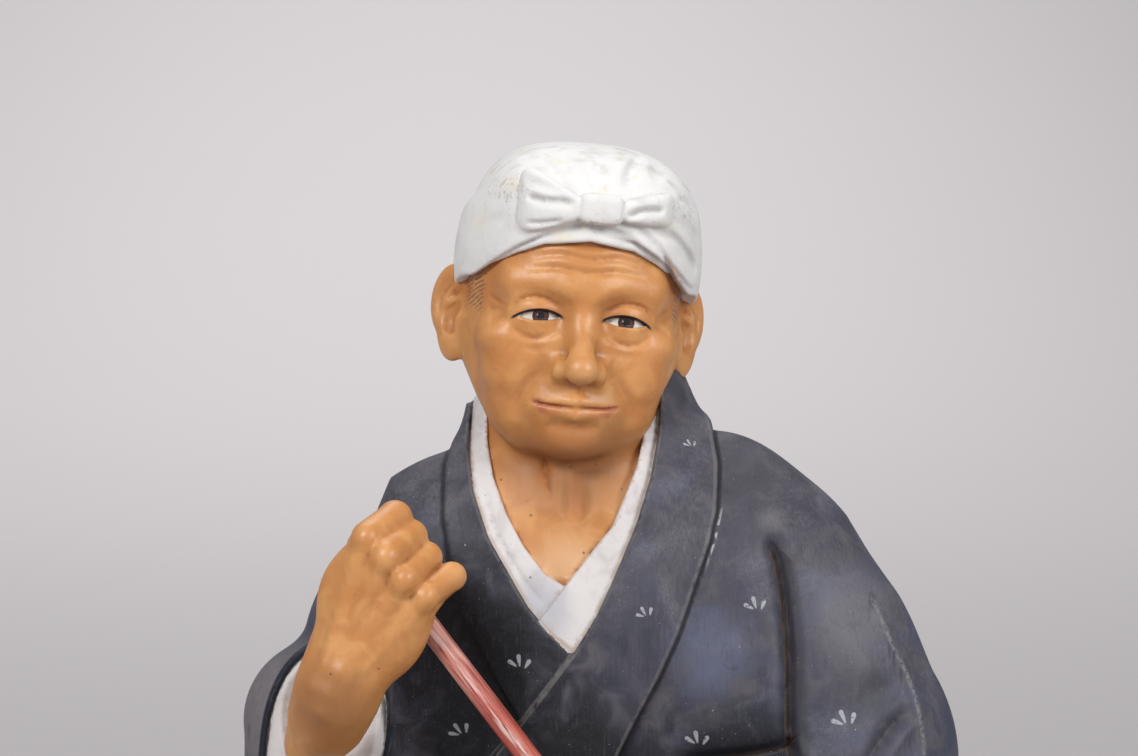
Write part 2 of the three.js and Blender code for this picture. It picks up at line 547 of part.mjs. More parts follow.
function sampled({ form, low, high, step }) {
  const n = low.map((v, a) => Math.ceil((high[a] - v) / step / BLOCK) * BLOCK + 1);
  const values = new Float32Array(n[0] * n[1] * n[2]);
  const reach = BLOCK * step;
  for (let bx = 0; bx < n[0]; bx += BLOCK) {
    for (let by = 0; by < n[1]; by += BLOCK) {
      for (let bz = 0; bz < n[2]; bz += BLOCK) {
        const corner = [low[0] + bx * step, low[1] + by * step, low[2] + bz * step];
        const middle = form(add(corner, [reach / 2, reach / 2, reach / 2]));
        const far = Math.abs(middle) > reach * 1.5;
        for (let x = bx; x < Math.min(bx + BLOCK, n[0]); x += 1) {
          for (let y = by; y < Math.min(by + BLOCK, n[1]); y += 1) {
            for (let z = bz; z < Math.min(bz + BLOCK, n[2]); z += 1) {
              const place = (x * n[1] + y) * n[2] + z;
              values[place] = far ? middle : form([low[0] + x * step, low[1] + y * step, low[2] + z * step]);
            }
          }
        }
      }
    }
  }
  return { values, n };
}

function slopeAt(form, p, h) {
  return [0, 1, 2].map((a) => {
    const ahead = [...p];
    const behind = [...p];
    ahead[a] += h;
    behind[a] -= h;
    return (form(ahead) - form(behind)) / (2 * h);
  });
}

// Moves a point onto the surface of a form.
function settled(form, start, step) {
  let p = start;
  for (let turn = 0; turn < 2; turn += 1) {
    const slope = slopeAt(form, p, step * 0.2);
    const push = clamp(form(p) / Math.max(dot(slope, slope), 0.3), -step * 0.6, step * 0.6);
    p = sub(p, times(slope, push));
  }
  return p;
}

// Skins a form: one point in each grid cell that the surface crosses, one four-sided face for each crossed edge.
function skinned(drawing) {
  const { form, low, step } = drawing;
  const { values, n } = sampled(drawing);
  const at = (x, y, z) => (x * n[1] + y) * n[2] + z;
  const pointOf = new Map();
  const points = [];
  const triangles = [];
  const pointIn = (x, y, z) => {
    const key = at(x, y, z);
    if (pointOf.has(key)) return pointOf.get(key);
    const sum = [0, 0, 0];
    let count = 0;
    for (let a = 0; a < 3; a += 1) {
      for (let corner = 0; corner < 4; corner += 1) {
        const from = [x, y, z];
        from[(a + 1) % 3] += corner & 1;
        from[(a + 2) % 3] += corner >> 1;
        const to = [...from];
        to[a] += 1;
        const v0 = values[at(...from)];
        const v1 = values[at(...to)];
        if (v0 < 0 !== v1 < 0) {
          from[a] += v0 / (v0 - v1);
          for (let c = 0; c < 3; c += 1) sum[c] += from[c];
          count += 1;
        }
      }
    }
    const start = [0, 1, 2].map((c) => low[c] + (sum[c] / count) * step);
    points.push(settled(form, start, step));
    pointOf.set(key, points.length - 1);
    return points.length - 1;
  };
  for (let x = 1; x < n[0] - 1; x += 1) {
    for (let y = 1; y < n[1] - 1; y += 1) {
      for (let z = 1; z < n[2] - 1; z += 1) {
        const here = values[at(x, y, z)] < 0;
        for (let a = 0; a < 3; a += 1) {
          const next = [x, y, z];
          next[a] += 1;
          if (values[at(...next)] < 0 === here) continue;
          const u = [0, 0, 0];
          const v = [0, 0, 0];
          u[(a + 1) % 3] = 1;
          v[(a + 2) % 3] = 1;
          const ring = [
            pointIn(x - u[0] - v[0], y - u[1] - v[1], z - u[2] - v[2]),
            pointIn(x - v[0], y - v[1], z - v[2]),
            pointIn(x, y, z),
            pointIn(x - u[0], y - u[1], z - u[2]),
          ];
          if (!here) ring.reverse();
          triangles.push(ring[0], ring[1], ring[2], ring[0], ring[2], ring[3]);
        }
      }
    }
  }
  return wholeOf(solidOf(points.flat(), triangles));
}

// A solid without loose chips and with any sealed hollow filled.
function wholeOf(solid) {
  const parts = solid.decompose();
  const largest = Math.max(...parts.map((part) => part.volume()));
  return parts.filter((part) => part.volume() > largest * 0.01).reduce((all, part) => all.add(part));
}

function solidOf(points, triangles) {
  const mesh = new wasm.Mesh({
    numProp: 3,
    vertProperties: Float32Array.from(points),
    triVerts: Uint32Array.from(triangles),
  });
  mesh.merge();
  return new wasm.Manifold(mesh);
}

const normalOf = (a, b, c) => cross(sub(b, a), sub(c, a));

// The error of a point against a sum of squared distances to planes.
function errorAt(q, [x, y, z]) {
  return q[0] * x * x + 2 * q[1] * x * y + 2 * q[2] * x * z + 2 * q[3] * x + q[4] * y * y
    + 2 * q[5] * y * z + 2 * q[6] * y + q[7] * z * z + 2 * q[8] * z + q[9];
}

// A smallest-first queue of possible edge merges.
class Queue {
  constructor() {
    this.items = [];
  }

  push(item) {
    const list = this.items;
    let i = list.push(item) - 1;
    while (i > 0) {
      const up = (i - 1) >> 1;
      if (list[up].cost <= list[i].cost) break;
      [list[up], list[i]] = [list[i], list[up]];
      i = up;
    }
  }

  pop() {
    const list = this.items;
    const first = list[0];
    const last = list.pop();
    if (list.length > 0) {
      list[0] = last;
      let i = 0;
      for (;;) {
        let low = 2 * i + 1;
        if (low >= list.length) break;
        if (low + 1 < list.length && list[low + 1].cost < list[low].cost) low += 1;
        if (list[i].cost <= list[low].cost) break;
        [list[i], list[low]] = [list[low], list[i]];
        i = low;
      }
    }
    return first;
  }
}

// How finely a place is kept when the skin is thinned: the head and hands more than the cloth.
function careAt(p) {
  if (p[2] > 186 && Math.abs(p[0]) < 32 && p[1] < 26) return 9;
  if (p[2] > 218) return 3;
  if (p[0] < -14 && p[1] < -8 && p[2] > 138) return 7;
  if (p[1] < -18 && p[2] > 98 && p[2] < 140) return 4;
  return p[2] > 136 && p[1] < 12 ? 1.6 : 0.8;
}

// A solid's skin as points and three-sided faces, whose edges can be merged away one at a time.
class Skin {
  constructor(solid) {
    const mesh = solid.getMesh();
    const stride = mesh.numProp;
    this.points = [];
    for (let i = 0; i < mesh.vertProperties.length; i += stride) {
      this.points.push(Array.from(mesh.vertProperties.slice(i, i + 3)));
    }
    const same = this.points.map((_, i) => i);
    mesh.mergeFromVert.forEach((from, i) => {
      same[from] = mesh.mergeToVert[i];
    });
    this.faces = [];
    this.around = this.points.map(() => new Set());
    for (let i = 0; i < mesh.triVerts.length; i += 3) {
      const face = [0, 1, 2].map((k) => same[mesh.triVerts[i + k]]);
      face.forEach((v) => this.around[v].add(this.faces.length));
      this.faces.push(face);
    }
    this.count = this.faces.length;
    this.gone = new Uint8Array(this.points.length);
    this.version = new Int32Array(this.points.length);
    this.quadrics = this.points.map(() => new Float64Array(10));
    this.faces.forEach((face) => this.addPlane(face));
  }

  // Adds the squared distance from a face's plane to the error of its corners.
  addPlane(face) {
    const [a, b, c] = face.map((v) => this.points[v]);
    const normal = normalOf(a, b, c);
    const area = size(normal);
    if (area < 1e-12) return;
    const [nx, ny, nz] = times(normal, 1 / area);
    const w = -(nx * a[0] + ny * a[1] + nz * a[2]);
    const terms = [nx * nx, nx * ny, nx * nz, nx * w, ny * ny, ny * nz, ny * w, nz * nz, nz * w, w * w];
    const weight = area * careAt(a);
    face.forEach((v) => terms.forEach((term, i) => {
      this.quadrics[v][i] += term * weight;
    }));
  }

  // Where an edge's two ends are best merged, out of the two ends, the middle and the least error of all.
  bestPoint(u, v) {
    const q = this.quadrics[u].map((value, i) => value + this.quadrics[v][i]);
    const a = this.points[u];
    const b = this.points[v];
    const middle = times(add(a, b), 0.5);
    const choices = [a, b, middle];
    const m = new THREE.Matrix3().set(q[0], q[1], q[2], q[1], q[4], q[5], q[2], q[5], q[7]);
    if (Math.abs(m.determinant()) > 1e-6 * (q[0] + q[4] + q[7]) ** 3) {
      const p = new THREE.Vector3(-q[3], -q[6], -q[8]).applyMatrix3(m.invert()).toArray();
      if (size(sub(p, middle)) < size(sub(a, b))) choices.push(p);
    }
    return choices.map((p) => ({ p, cost: errorAt(q, p) })).reduce((x, y) => (y.cost < x.cost ? y : x));
  }

  neighbours(v) {
    const set = new Set();
    this.around[v].forEach((f) => this.faces[f].forEach((w) => w !== v && set.add(w)));
    return set;
  }

  // Whether moving v to p turns a face over or crushes it, faces thinner than a width left out.
  turnsOver(v, other, p, thinnest) {
    for (const f of this.around[v]) {
      const face = this.faces[f];
      if (face.includes(other)) continue;
      const before = face.map((w) => this.points[w]);
      const after = face.map((w) => (w === v ? p : this.points[w]));
      const n0 = normalOf(...before);
      const n1 = normalOf(...after);
      const longest = Math.max(...after.map((corner, i) => size(sub(corner, after[(i + 1) % 3]))));
      if (size(n0) < thinnest * longest) continue;
      if (dot(n0, n1) < 0.35 * size(n0) * size(n1)) return true;
      if (thinnest === 0 && size(n1) < 0.03 * longest * longest) return true;
    }
    return false;
  }

  // Merges the edge from u to v into the point p when that leaves the skin closed and unfolded.
  merge(u, v, p, thinnest) {
    const near = this.neighbours(u);
    if (!near.has(v)) return false;
    const shared = [...this.neighbours(v)].filter((w) => near.has(w));
    const sharedFaces = [...this.around[u]].filter((f) => this.around[v].has(f));
    if (shared.length !== 2 || sharedFaces.length !== 2) return false;
    if (this.turnsOver(u, v, p, thinnest) || this.turnsOver(v, u, p, thinnest)) return false;
    sharedFaces.forEach((f) => {
      this.faces[f].forEach((w) => this.around[w].delete(f));
      this.faces[f] = null;
      this.count -= 1;
    });
    this.around[v].forEach((f) => {
      this.faces[f] = this.faces[f].map((w) => (w === v ? u : w));
      this.around[u].add(f);
    });
    this.around[v].clear();
    this.gone[v] = 1;
    this.points[u] = p;
    this.quadrics[v].forEach((value, i) => {
      this.quadrics[u][i] += value;
    });
    this.version[u] += this.version[v] + 1;
    return true;
  }

  // Merges the edges that change the shape least until about a number of faces is left.
  thin(target) {
    const queue = new Queue();
    const offer = (u, v) => {
      const { p, cost } = this.bestPoint(u, v);
      const long = size(sub(this.points[u], this.points[v]));
      queue.push({ cost: cost + 1e-5 * long * long, p, u, v, stamp: this.version[u] + this.version[v] });
    };
    this.faces.forEach((face) => face.forEach((v, i) => {
      if (v < face[(i + 1) % 3]) offer(v, face[(i + 1) % 3]);
    }));
    while (this.count > target && queue.items.length > 0) {
      const { p, u, v, stamp } = queue.pop();
      if (this.gone[u] || this.gone[v] || stamp !== this.version[u] + this.version[v]) continue;
      if (this.merge(u, v, p, 0)) this.neighbours(u).forEach((w) => offer(u, w));
    }
    return this;
  }

  // Merges away the edges shorter than a length, each into one of its own ends.
  dropShortEdges(shortest) {
    for (let round = 0; round < 4; round += 1) {
      this.around.forEach((_, u) => {
        if (this.gone[u]) return;
        const v = [...this.neighbours(u)].find((w) => size(sub(this.points[u], this.points[w])) < shortest);
        if (v === undefined) return;
        const q = this.quadrics[u].map((value, i) => value + this.quadrics[v][i]);
        const ends = [this.points[u], this.points[v]].sort((a, b) => errorAt(q, a) - errorAt(q, b));
        if (!this.merge(u, v, ends[0], shortest)) this.merge(u, v, ends[1], shortest);
      });
    }
    return this;
  }

  solid() {
    const index = new Map();
    const kept = [];
    const triangles = [];
    this.faces.filter(Boolean).forEach((face) => face.forEach((v) => {
      if (!index.has(v)) {
        index.set(v, kept.length / 3);
        kept.push(...this.points[v]);
      }
      triangles.push(index.get(v));
    }));
    return solidOf(kept, triangles);
  }
}

// From drawn units to millimetres above the base.
function placed(p) {
  return [p[0] * UNIT, p[1] * UNIT, BASE_HEIGHT + (p[2] - SEAT) * UNIT];
}

function solidFromGeometry(geometry) {
  const flat = geometry.index ? geometry.toNonIndexed() : geometry;
  const triangles = Array.from({ length: flat.attributes.position.count }, (_, i) => i);
  return solidOf(flat.attributes.position.array, triangles);
}

// A round rod between two points.
function rod(from, to, diameter) {
  const a = new THREE.Vector3(...from);
  const b = new THREE.Vector3(...to);
  const geometry = new THREE.CylinderGeometry(diameter / 2, diameter / 2, a.distanceTo(b), STICK_SIDES);
  const turn = new THREE.Quaternion().setFromUnitVectors(new THREE.Vector3(0, 1, 0), b.clone().sub(a).normalize());
  geometry.applyQuaternion(turn);
  geometry.translate((a.x + b.x) / 2, (a.y + b.y) / 2, (a.z + b.z) / 2);
  return solidFromGeometry(geometry);
}

function geometryOf(solid) {
  const mesh = solid.getMesh();
  const geometry = new THREE.BufferGeometry();
  const points = new Float32Array((mesh.vertProperties.length / mesh.numProp) * 3);
  for (let i = 0; i < points.length / 3; i += 1) {
    for (let c = 0; c < 3; c += 1) points[i * 3 + c] = mesh.vertProperties[i * mesh.numProp + c];
  }
  geometry.setAttribute('position', new THREE.BufferAttribute(points, 3));
  geometry.setIndex(Array.from(mesh.triVerts));
  geometry.computeVertexNormals();
  return geometry;
}

const stickTop = placed(STICK_TOP);
const stickFoot = placed(STICK_FOOT);
const stickRun = unit(sub(stickFoot, stickTop));

// What of a solid is higher than a gap above the base.
function aboveBase(solid, gap) {
  const room = new THREE.BoxGeometry(BASE_WIDTH * 2, BASE_DEPTH * 2, FIGURE_HEIGHT * 2);
  room.translate(0, 0, BASE_HEIGHT + gap + FIGURE_HEIGHT);
  return solid.intersect(solidFromGeometry(room));
}

function figureSolid() {
  const whole = wholeOf(FORMS.map(skinned).reduce((all, solid) => all.add(solid)));
  const mesh = new Skin(whole).thin(FIGURE_TRIANGLES).solid().getMesh();
  const points = [];
  for (let i = 0; i < mesh.vertProperties.length; i += mesh.numProp) {
    points.push(...placed(mesh.vertProperties.slice(i, i + 3)));
  }
  const figure = solidOf(points, mesh.triVerts);
  // The bore for the stick: blind in the right fist, open below it and through the left fist.
  const top = sub(stickTop, times(stickRun, STICK_FIT));
  const end = add(stickFoot, times(stickRun, STICK_DIAMETER));
  const bored = wholeOf(aboveBase(figure, 0).subtract(rod(top, end, STICK_DIAMETER + 2 * STICK_FIT)));
  return new Skin(bored).dropShortEdges(SHORTEST_EDGE).solid();
}

function stickSolid() {
  const whole = rod(stickTop, add(stickFoot, times(stickRun, STICK_DIAMETER * 2)), STICK_DIAMETER);
  return aboveBase(whole, STICK_FIT);
}

function baseSolid() {
  const w = BASE_WIDTH / 2 - BASE_CHAMFER;
  const d = BASE_DEPTH / 2 - BASE_CHAMFER;
  const r = BASE_CORNER - BASE_CHAMFER;
  const outline = new THREE.Shape();
  outline.moveTo(-w + r, -d);
  outline.lineTo(w - r, -d);
  outline.absarc(w - r, -d + r, r, -Math.PI / 2, 0, false);
  outline.lineTo(w, d - r);
  outline.absarc(w - r, d - r, r, 0, Math.PI / 2, false);
  outline.lineTo(-w + r, d);
  outline.absarc(-w + r, d - r, r, Math.PI / 2, Math.PI, false);
  outline.lineTo(-w, -d + r);
  outline.absarc(-w + r, -d + r, r, Math.PI, Math.PI * 1.5, false);
  const slab = new THREE.ExtrudeGeometry(outline, {
    depth: BASE_HEIGHT - 2 * BASE_CHAMFER,
    bevelEnabled: true,
    bevelThickness: BASE_CHAMFER,
    bevelSize: BASE_CHAMFER,
    bevelSegments: 2,
    curveSegments: 8,
  });
  slab.translate(0, 0, BASE_CHAMFER);
  return solidFromGeometry(slab);
}

function meshOf(name, solid, material) {
  const mesh = new THREE.Mesh(geometryOf(solid), material);
  mesh.name = name;
  return mesh;
}

const paintedClay = new THREE.MeshStandardMaterial({ color: 0x3b404c, roughness: 0.62, metalness: 0 });
const redPaint = new THREE.MeshStandardMaterial({ color: 0xa63c30, roughness: 0.4, metalness: 0 });
const darkLacquer = new THREE.MeshStandardMaterial({ color: 0x241711, roughness: 0.35, metalness: 0 });

const doll = new THREE.Group();
doll.name = 'hakata_doll';
doll.add(meshOf('figure', figureSolid(), paintedClay));
doll.add(meshOf('stick', stickSolid(), redPaint));
doll.add(meshOf('base', baseSolid(), darkLacquer));

export default doll;
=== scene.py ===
"""A fired clay doll of an elderly figure that kneels and holds a long stick, on a low lacquered base.

Forms are worked out in millimetres as distances to a surface, negative inside, on points held as three rows.
The front looks along -Y and up is +Z. Blender's own objects are in metres. Hands, arms and sleeves are the
doll's own left and right ones, while edges and collars are left and right as seen from the front.
"""
import math

import bmesh
import bpy
import numpy as np
import openvdb
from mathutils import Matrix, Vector


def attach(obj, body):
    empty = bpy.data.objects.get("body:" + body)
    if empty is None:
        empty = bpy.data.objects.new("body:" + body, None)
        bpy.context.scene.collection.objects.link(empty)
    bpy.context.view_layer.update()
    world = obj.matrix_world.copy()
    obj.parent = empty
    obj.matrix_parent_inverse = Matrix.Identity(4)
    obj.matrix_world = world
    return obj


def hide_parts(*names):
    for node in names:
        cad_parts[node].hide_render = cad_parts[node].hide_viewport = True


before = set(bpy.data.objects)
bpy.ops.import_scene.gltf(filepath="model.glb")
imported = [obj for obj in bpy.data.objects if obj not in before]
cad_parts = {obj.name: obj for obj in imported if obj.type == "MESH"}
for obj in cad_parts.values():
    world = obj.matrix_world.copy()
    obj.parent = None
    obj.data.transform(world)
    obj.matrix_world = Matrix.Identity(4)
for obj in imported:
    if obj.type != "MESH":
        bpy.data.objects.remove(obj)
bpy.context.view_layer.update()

METRES = 0.001
# The height of the base, on which the figure sits.
SEAT = 15.0

# The line of the stick.
STICK_TOP = np.array([-39.3, -17.0, 184.5])
STICK_FOOT = np.array([94.0, -59.0, 15.3])
STICK_RADIUS = 2.3
STICK_LENGTH = np.linalg.norm(STICK_FOOT - STICK_TOP)
STICK_RUN = (STICK_FOOT - STICK_TOP) / STICK_LENGTH
STICK_FIT = 0.3


# Helpers for points and directions.

def column(values):
    return np.array(values, np.float32).reshape(3, 1)


def length_of(q):
    return np.sqrt((q * q).sum(0))


def unit(v):
    v = np.array(v, float)
    return v / np.linalg.norm(v)


def square_to(side, rough):
    """The direction nearest to a rough one that is square to another."""
    return unit(np.array(rough) - side * np.dot(rough, side))


def ease(t):
    t = np.clip(t, 0, 1)
    return t * t * (3 - 2 * t)


def axes_of(*directions):
    """Three directions as the columns of a matrix."""
    return np.stack(directions, 1).astype(np.float32)


def turned_axes(yaw, roll, pitch):
    """Axes turned by degrees about Z, Y and X."""
    y, r, t = (math.radians(v) for v in (yaw, roll, pitch))
    about_z = np.array([[math.cos(y), -math.sin(y), 0], [math.sin(y), math.cos(y), 0], [0, 0, 1]])
    about_y = np.array([[math.cos(r), 0, math.sin(r)], [0, 1, 0], [-math.sin(r), 0, math.cos(r)]])
    about_x = np.array([[1, 0, 0], [0, math.cos(t), -math.sin(t)], [0, math.sin(t), math.cos(t)]])
    return (about_z @ about_y @ about_x).astype(np.float32)


def facing_axes(facing, upward):
    """Side, up and out axes, with out given and up as near as can be to another direction."""
    out = unit(facing)
    up = square_to(out, upward)
    return axes_of(np.cross(up, out), up, out)


def seen_from(p, origin, axes):
    return axes.T @ (p - column(origin))


# Rounded forms.

def ellipsoid(p, centre, radii):
    q = p - column(centre)
    r = column(radii)
    k = length_of(q / r)
    return k * (k - 1) / np.maximum(length_of(q / (r * r)), 1e-6)


def block(p, centre, radii, n):
    """An ellipsoid when n is 2, squarer as n grows."""
    q = np.abs(p - column(centre)) / column(radii)
    f = np.maximum((q ** n).sum(0), 1e-9) ** (1 / n)
    slope = length_of(q ** (n - 1) / column(radii)) / np.maximum(f, 1e-3) ** (n - 1)
    return (f - 1) / np.maximum(slope, 1e-3)


def limb(p, a, b, start_radius, end_radius):
    a = column(a)
    run = column(b) - a
    t = np.clip(((p - a) * run).sum(0) / (run * run).sum(), 0, 1)
    return length_of(p - a - run * t) - (start_radius + (end_radius - start_radius) * t)


def chain(p, points, radii, soft):
    """Limbs from point to point, joined."""
    d = limb(p, points[0], points[1], radii[0], radii[1])
    for i in range(1, len(points) - 1):
        d = join(d, limb(p, points[i], points[i + 1], radii[i], radii[i + 1]), soft)
    return d


def brick(p, centre, half, corner):
    q = np.abs(p - column(centre)) - (column(half) - corner)
    return length_of(np.maximum(q, 0)) + np.minimum(q.max(0), 0) - corner


def join(a, b, k):
    h = np.maximum(k - np.abs(a - b), 0) / k
    return np.minimum(a, b) - h * h * k * 0.25


def trim(a, b, k):
    return -join(-a, -b, k)


def grown(d, p, *parts):
    """A body with parts joined to it, each as (kind, the sizes that kind takes, softness of the joint)."""
    for kind, *sizes, soft in parts:
        d = join(d, kind(p, *sizes), soft)
    return d


def most(*parts):
    """The space that all the parts share."""
    d = parts[0]
    for part in parts[1:]:
        d = np.maximum(d, part)
    return d


def between(v, rows):
    """A value that runs straight between rows of (place, value)."""
    table = np.array(rows, np.float32)
    return np.interp(v, table[:, 0], table[:, 1]).astype(np.float32)


def within(x, z, left, right, over=0):
    """The space between two edges seen from the front, and over them by a distance."""
    return np.maximum(between(z, left) - over - x, x - between(z, right) - over)


CURVE_STEPS = 6


def curve_through(points):
    """Points on a smooth curve through the given ones."""
    p = np.array(points, float)
    p = np.vstack([2 * p[0] - p[1], p, 2 * p[-1] - p[-2]])
    out = []
    for i in range(1, len(p) - 2):
        for t in np.arange(CURVE_STEPS) / CURVE_STEPS:
            a = 2 * p[i]
            b = (p[i + 1] - p[i - 1]) * t
            c = (2 * p[i - 1] - 5 * p[i] + 4 * p[i + 1] - p[i + 2]) * t * t
            d = (3 * p[i] - p[i - 1] - 3 * p[i + 1] + p[i + 2]) * t ** 3
            out.append((a + b + c + d) / 2)
    out.append(p[-2])
    return np.array(out)


def nearest(x, z, points):
    """How far places seen from the front are from a line of points, and where along it, from 0 to 1.

    The third thing given is the side: 1 to the left of the line's run and -1 to the right.
    """
    steps = points[1:] - points[:-1]
    lengths = np.hypot(steps[:, 0], steps[:, 1])
    best = np.full(x.shape, 1e9, np.float32)
    along = np.zeros_like(best)
    side = along
    run = 0.0
    for start, step, length in zip(points[:-1], steps, lengths):
        u = x - start[0]
        v = z - start[1]
        t = np.clip((u * step[0] + v * step[1]) / (length * length), 0, 1)
        away = np.hypot(u - step[0] * t, v - step[1] * t)
        nearer = away < best
        best = np.where(nearer, away, best)
        along = np.where(nearer, (run + t * length) / lengths.sum(), along)
        side = np.where(nearer, np.where(v * step[0] > u * step[1], 1, -1), side)
        run += length
    return best, along, side


def shifted(line, across, up=0):
    return [(x + across, z + up) for x, z in line]


def groove(x, z, line, width, depth, fade=4, power=2):
    """A groove along a smooth line seen from the front, fading out at its ends. A negative depth is a ridge.

    A power under 2 gives the groove a sharp bottom.
    """
    points = curve_through(line)
    out = np.zeros_like(x)
    reach = 2.6 * width
    near = (x > points[:, 0].min() - reach) & (x < points[:, 0].max() + reach)
    near &= (z > points[:, 1].min() - reach) & (z < points[:, 1].max() + reach)
    if near.any():
        away, along, _ = nearest(x[near], z[near], points)
        out[near] = depth * (1 - (2 * along - 1) ** fade) * np.exp(-((away / width) ** power))
    return out


def grooves(x, z, rows):
    """Grooves from rows of (line, width, depth) and, where they differ, fade and power."""
    return sum(groove(x, z, *row) for row in rows)


# The head, turned and bent a little. Inside it, x is across, -y is the front and z is up.

HEAD = ((0.6, 16, 228), turned_axes(6, 5, 3))
EYE_OUT = 8.6
EYE_UP = 1.5
EYE_BACK = -13.7
EYE_HALF_WIDTH = 4.5
EYE_BALL = 5.7
# How far the lids' middle is below the eye's, how it falls outwards, and how far each lid curves from it.
LID_DROP = 0.3
LID_SLANT = 0.18
UPPER_LID = 1.35
LOWER_LID = 0.75
UPPER_LIP = [(0.9, -22.7, -14.9), (7.2, -20.4, -15.6)]
LOWER_LIP = [(0, -22.3, -17.6), (6.2, -20.6, -16.8)]
EAR_TURN = math.radians(46)
EAR_ROOT = (21.4, 2, -1.6)


def eye_opening(s, z):
    t = np.clip((s - EYE_OUT) / EYE_HALF_WIDTH, -1.4, 1.4)
    middle = EYE_UP - LID_DROP - LID_SLANT * t
    arch = 1 - t * t
    return np.maximum(z - middle - UPPER_LID * arch, middle - LOWER_LID * arch - z)


def skull(m):
    return grown(ellipsoid(m, (0, 5, 9.5), (22.4, 27, 22.5)), m,
                 (ellipsoid, (0, -3, -4), (20.3, 18.3, 19), 6),
                 (limb, (17.5, 3, -6), (7.5, -10.5, -21.5), 5, 5.6, 7),
                 (ellipsoid, (0, -6, -14.5), (15.5, 15, 11), 6),
                 (ellipsoid, (0, -16.4, -22.6), (6.6, 5.3, 4.6), 4),
                 (limb, (3.4, -18.6, 7), (13.4, -15.2, 7.4), 2.6, 3, 4),
                 (ellipsoid, (13.6, -12.2, -4), (6.6, 6.4, 4.6), 4))


def nose(m):
    d = grown(limb(m, (0, -18.3, 4), (0, -25.2, -7.2), 1.9, 2.6), m,
              (ellipsoid, (0, -25.6, -8.3), (3.3, 3.2, 2.8), 2),
              (ellipsoid, (3.7, -21.9, -9), (2.4, 3.3, 2.4), 1.2))
    return trim(d, -ellipsoid(m, (1.8, -24, -11.2), (1, 1.9, 1.2)), 0.7)


def lips(d, m):
    d = grown(d, m, (limb, *UPPER_LIP, 1.1, 0.6, 1.4), (limb, *LOWER_LIP, 1.4, 0.7, 1))
    return trim(d, -limb(m, (0, -24, -16.2), (8.6, -20.6, -15.8), 0.4, 0.3), 0.5)


def lids(d, m, s, y, z):
    ball = ellipsoid(m, (EYE_OUT, EYE_BACK, EYE_UP), (EYE_BALL, EYE_BALL, EYE_BALL))
    d = join(d, ellipsoid(m, (EYE_OUT, EYE_BACK, EYE_UP + 0.3), (6.7, 6.65, 6.1)), 1.8)
    d = trim(d, -most(eye_opening(s, z), y + 8, -ball), 0.3)
    return np.minimum(d, ball)


# Lines of age on each half of the face: two beside the mouth, two under it, then those round the eye.
FACE_LINES = [([(5.6, -7), (8, -10), (10.4, -13.6), (11.4, -17.4), (11.2, -20.4)], 1.5, 0.75, 2),
              ([(12.8, -8), (14.6, -12.4), (14.2, -17)], 1.5, 0.35, 2),
              ([(0, -20.2), (2.6, -20.1), (5.2, -19.6)], 1.3, 0.4, 8),
              ([(0, -13.6), (0.2, -11.6)], 0.8, 0.25),
              ([(4.2, 3.2), (8.2, 5), (12.2, 4.4), (14.6, 1.8)], 0.5, 0.5),
              ([(4.4, -1), (7.6, -2.9), (11.2, -3.1), (14.4, -1.2)], 0.75, 0.45),
              ([(5.6, -3.8), (8.8, -5.3), (12.6, -5)], 0.8, 0.22)]


def face_lines(x, s, z):
    """The lines of age, with three across the brow and three from the corner of each eye."""
    g = grooves(s, z, FACE_LINES)
    for k in range(3):
        h = 11 + 2.6 * k
        reach = 12.5 - 1.2 * k
        left = [(-reach, h - 0.8), (-reach / 2, h + 0.3)]
        right = [(reach / 2, h + 0.3), (reach, h - 0.8)]
        g += groove(x, z, [*left, (0, h - 0.3), *right], 0.65, 0.45)
        turn = k - 1
        corner = [(15, 1.5 + 0.8 * turn), (16.8, 1.6 + 1.6 * turn), (18.4, 1.7 + 2.6 * turn)]
        g += groove(s, z, corner, 0.5, 0.32)
    return g


def face(p):
    x, y, z = p
    s = np.abs(x)
    m = np.stack([s, y, z])
    d = trim(skull(m), -ellipsoid(m, (8.9, -22.8, 2.2), (6.2, 4.6, 3.9)), 3)
    d = grown(d, m,
              (ellipsoid, (0, -15.2, -15.8), (11, 7.6, 6.4), 3),
              (ellipsoid, (12.2, -12.4, -10), (6.4, 6.9, 8), 2.2),
              (ellipsoid, (11, -10.8, -18.2), (5.2, 5.6, 4.8), 3.2))
    d = join(d, nose(m), 2.4)
    d = trim(d, -limb(m, (5.9, -22.6, -6.6), (6.5, -22.2, -10.4), 0.5, 0.6), 1.4)
    d = lips(lids(d, m, s, y, z), m)
    return d + face_lines(x, s, z) * ease((-y - 3) / 6)


def ear(p):
    out = np.array([math.cos(EAR_TURN), math.sin(EAR_TURN), 0.0])
    up = square_to(out, (0.06, 0.16, 1))
    q = seen_from(np.stack([np.abs(p[0]), p[1], p[2]]), EAR_ROOT, axes_of(out, up, np.cross(out, up)))
    d = ellipsoid(q, (4.2, 2, 0), (5.6, 7.9, 2.1))
    d = join(d, ellipsoid(q, (2.4, -6.2, 0.1), (3.4, 3.8, 1.8)), 2.5)
    d = trim(d, -ellipsoid(q, (3.7, 3.2, 2.5), (4.3, 6.2, 2.3)), 0.8)
    d = trim(d, -ellipsoid(q, (2.2, -1, 1.9), (2.6, 3.6, 2.1)), 0.7)
    return grown(d, q,
                 (chain, [(5.6, -3.4, 0.5), (5.4, 2.4, 0.6), (3.4, 5.6, 0.4)], (0.7, 0.8, 0.6), 0.4, 0.7),
                 (limb, (5.4, 1.2, 0.6), (1.6, 3.4, 0.4), 0.7, 0.5, 0.7),
                 (ellipsoid, (0.2, -1.6, 1.2), (1.2, 1.9, 1.1), 0.8))


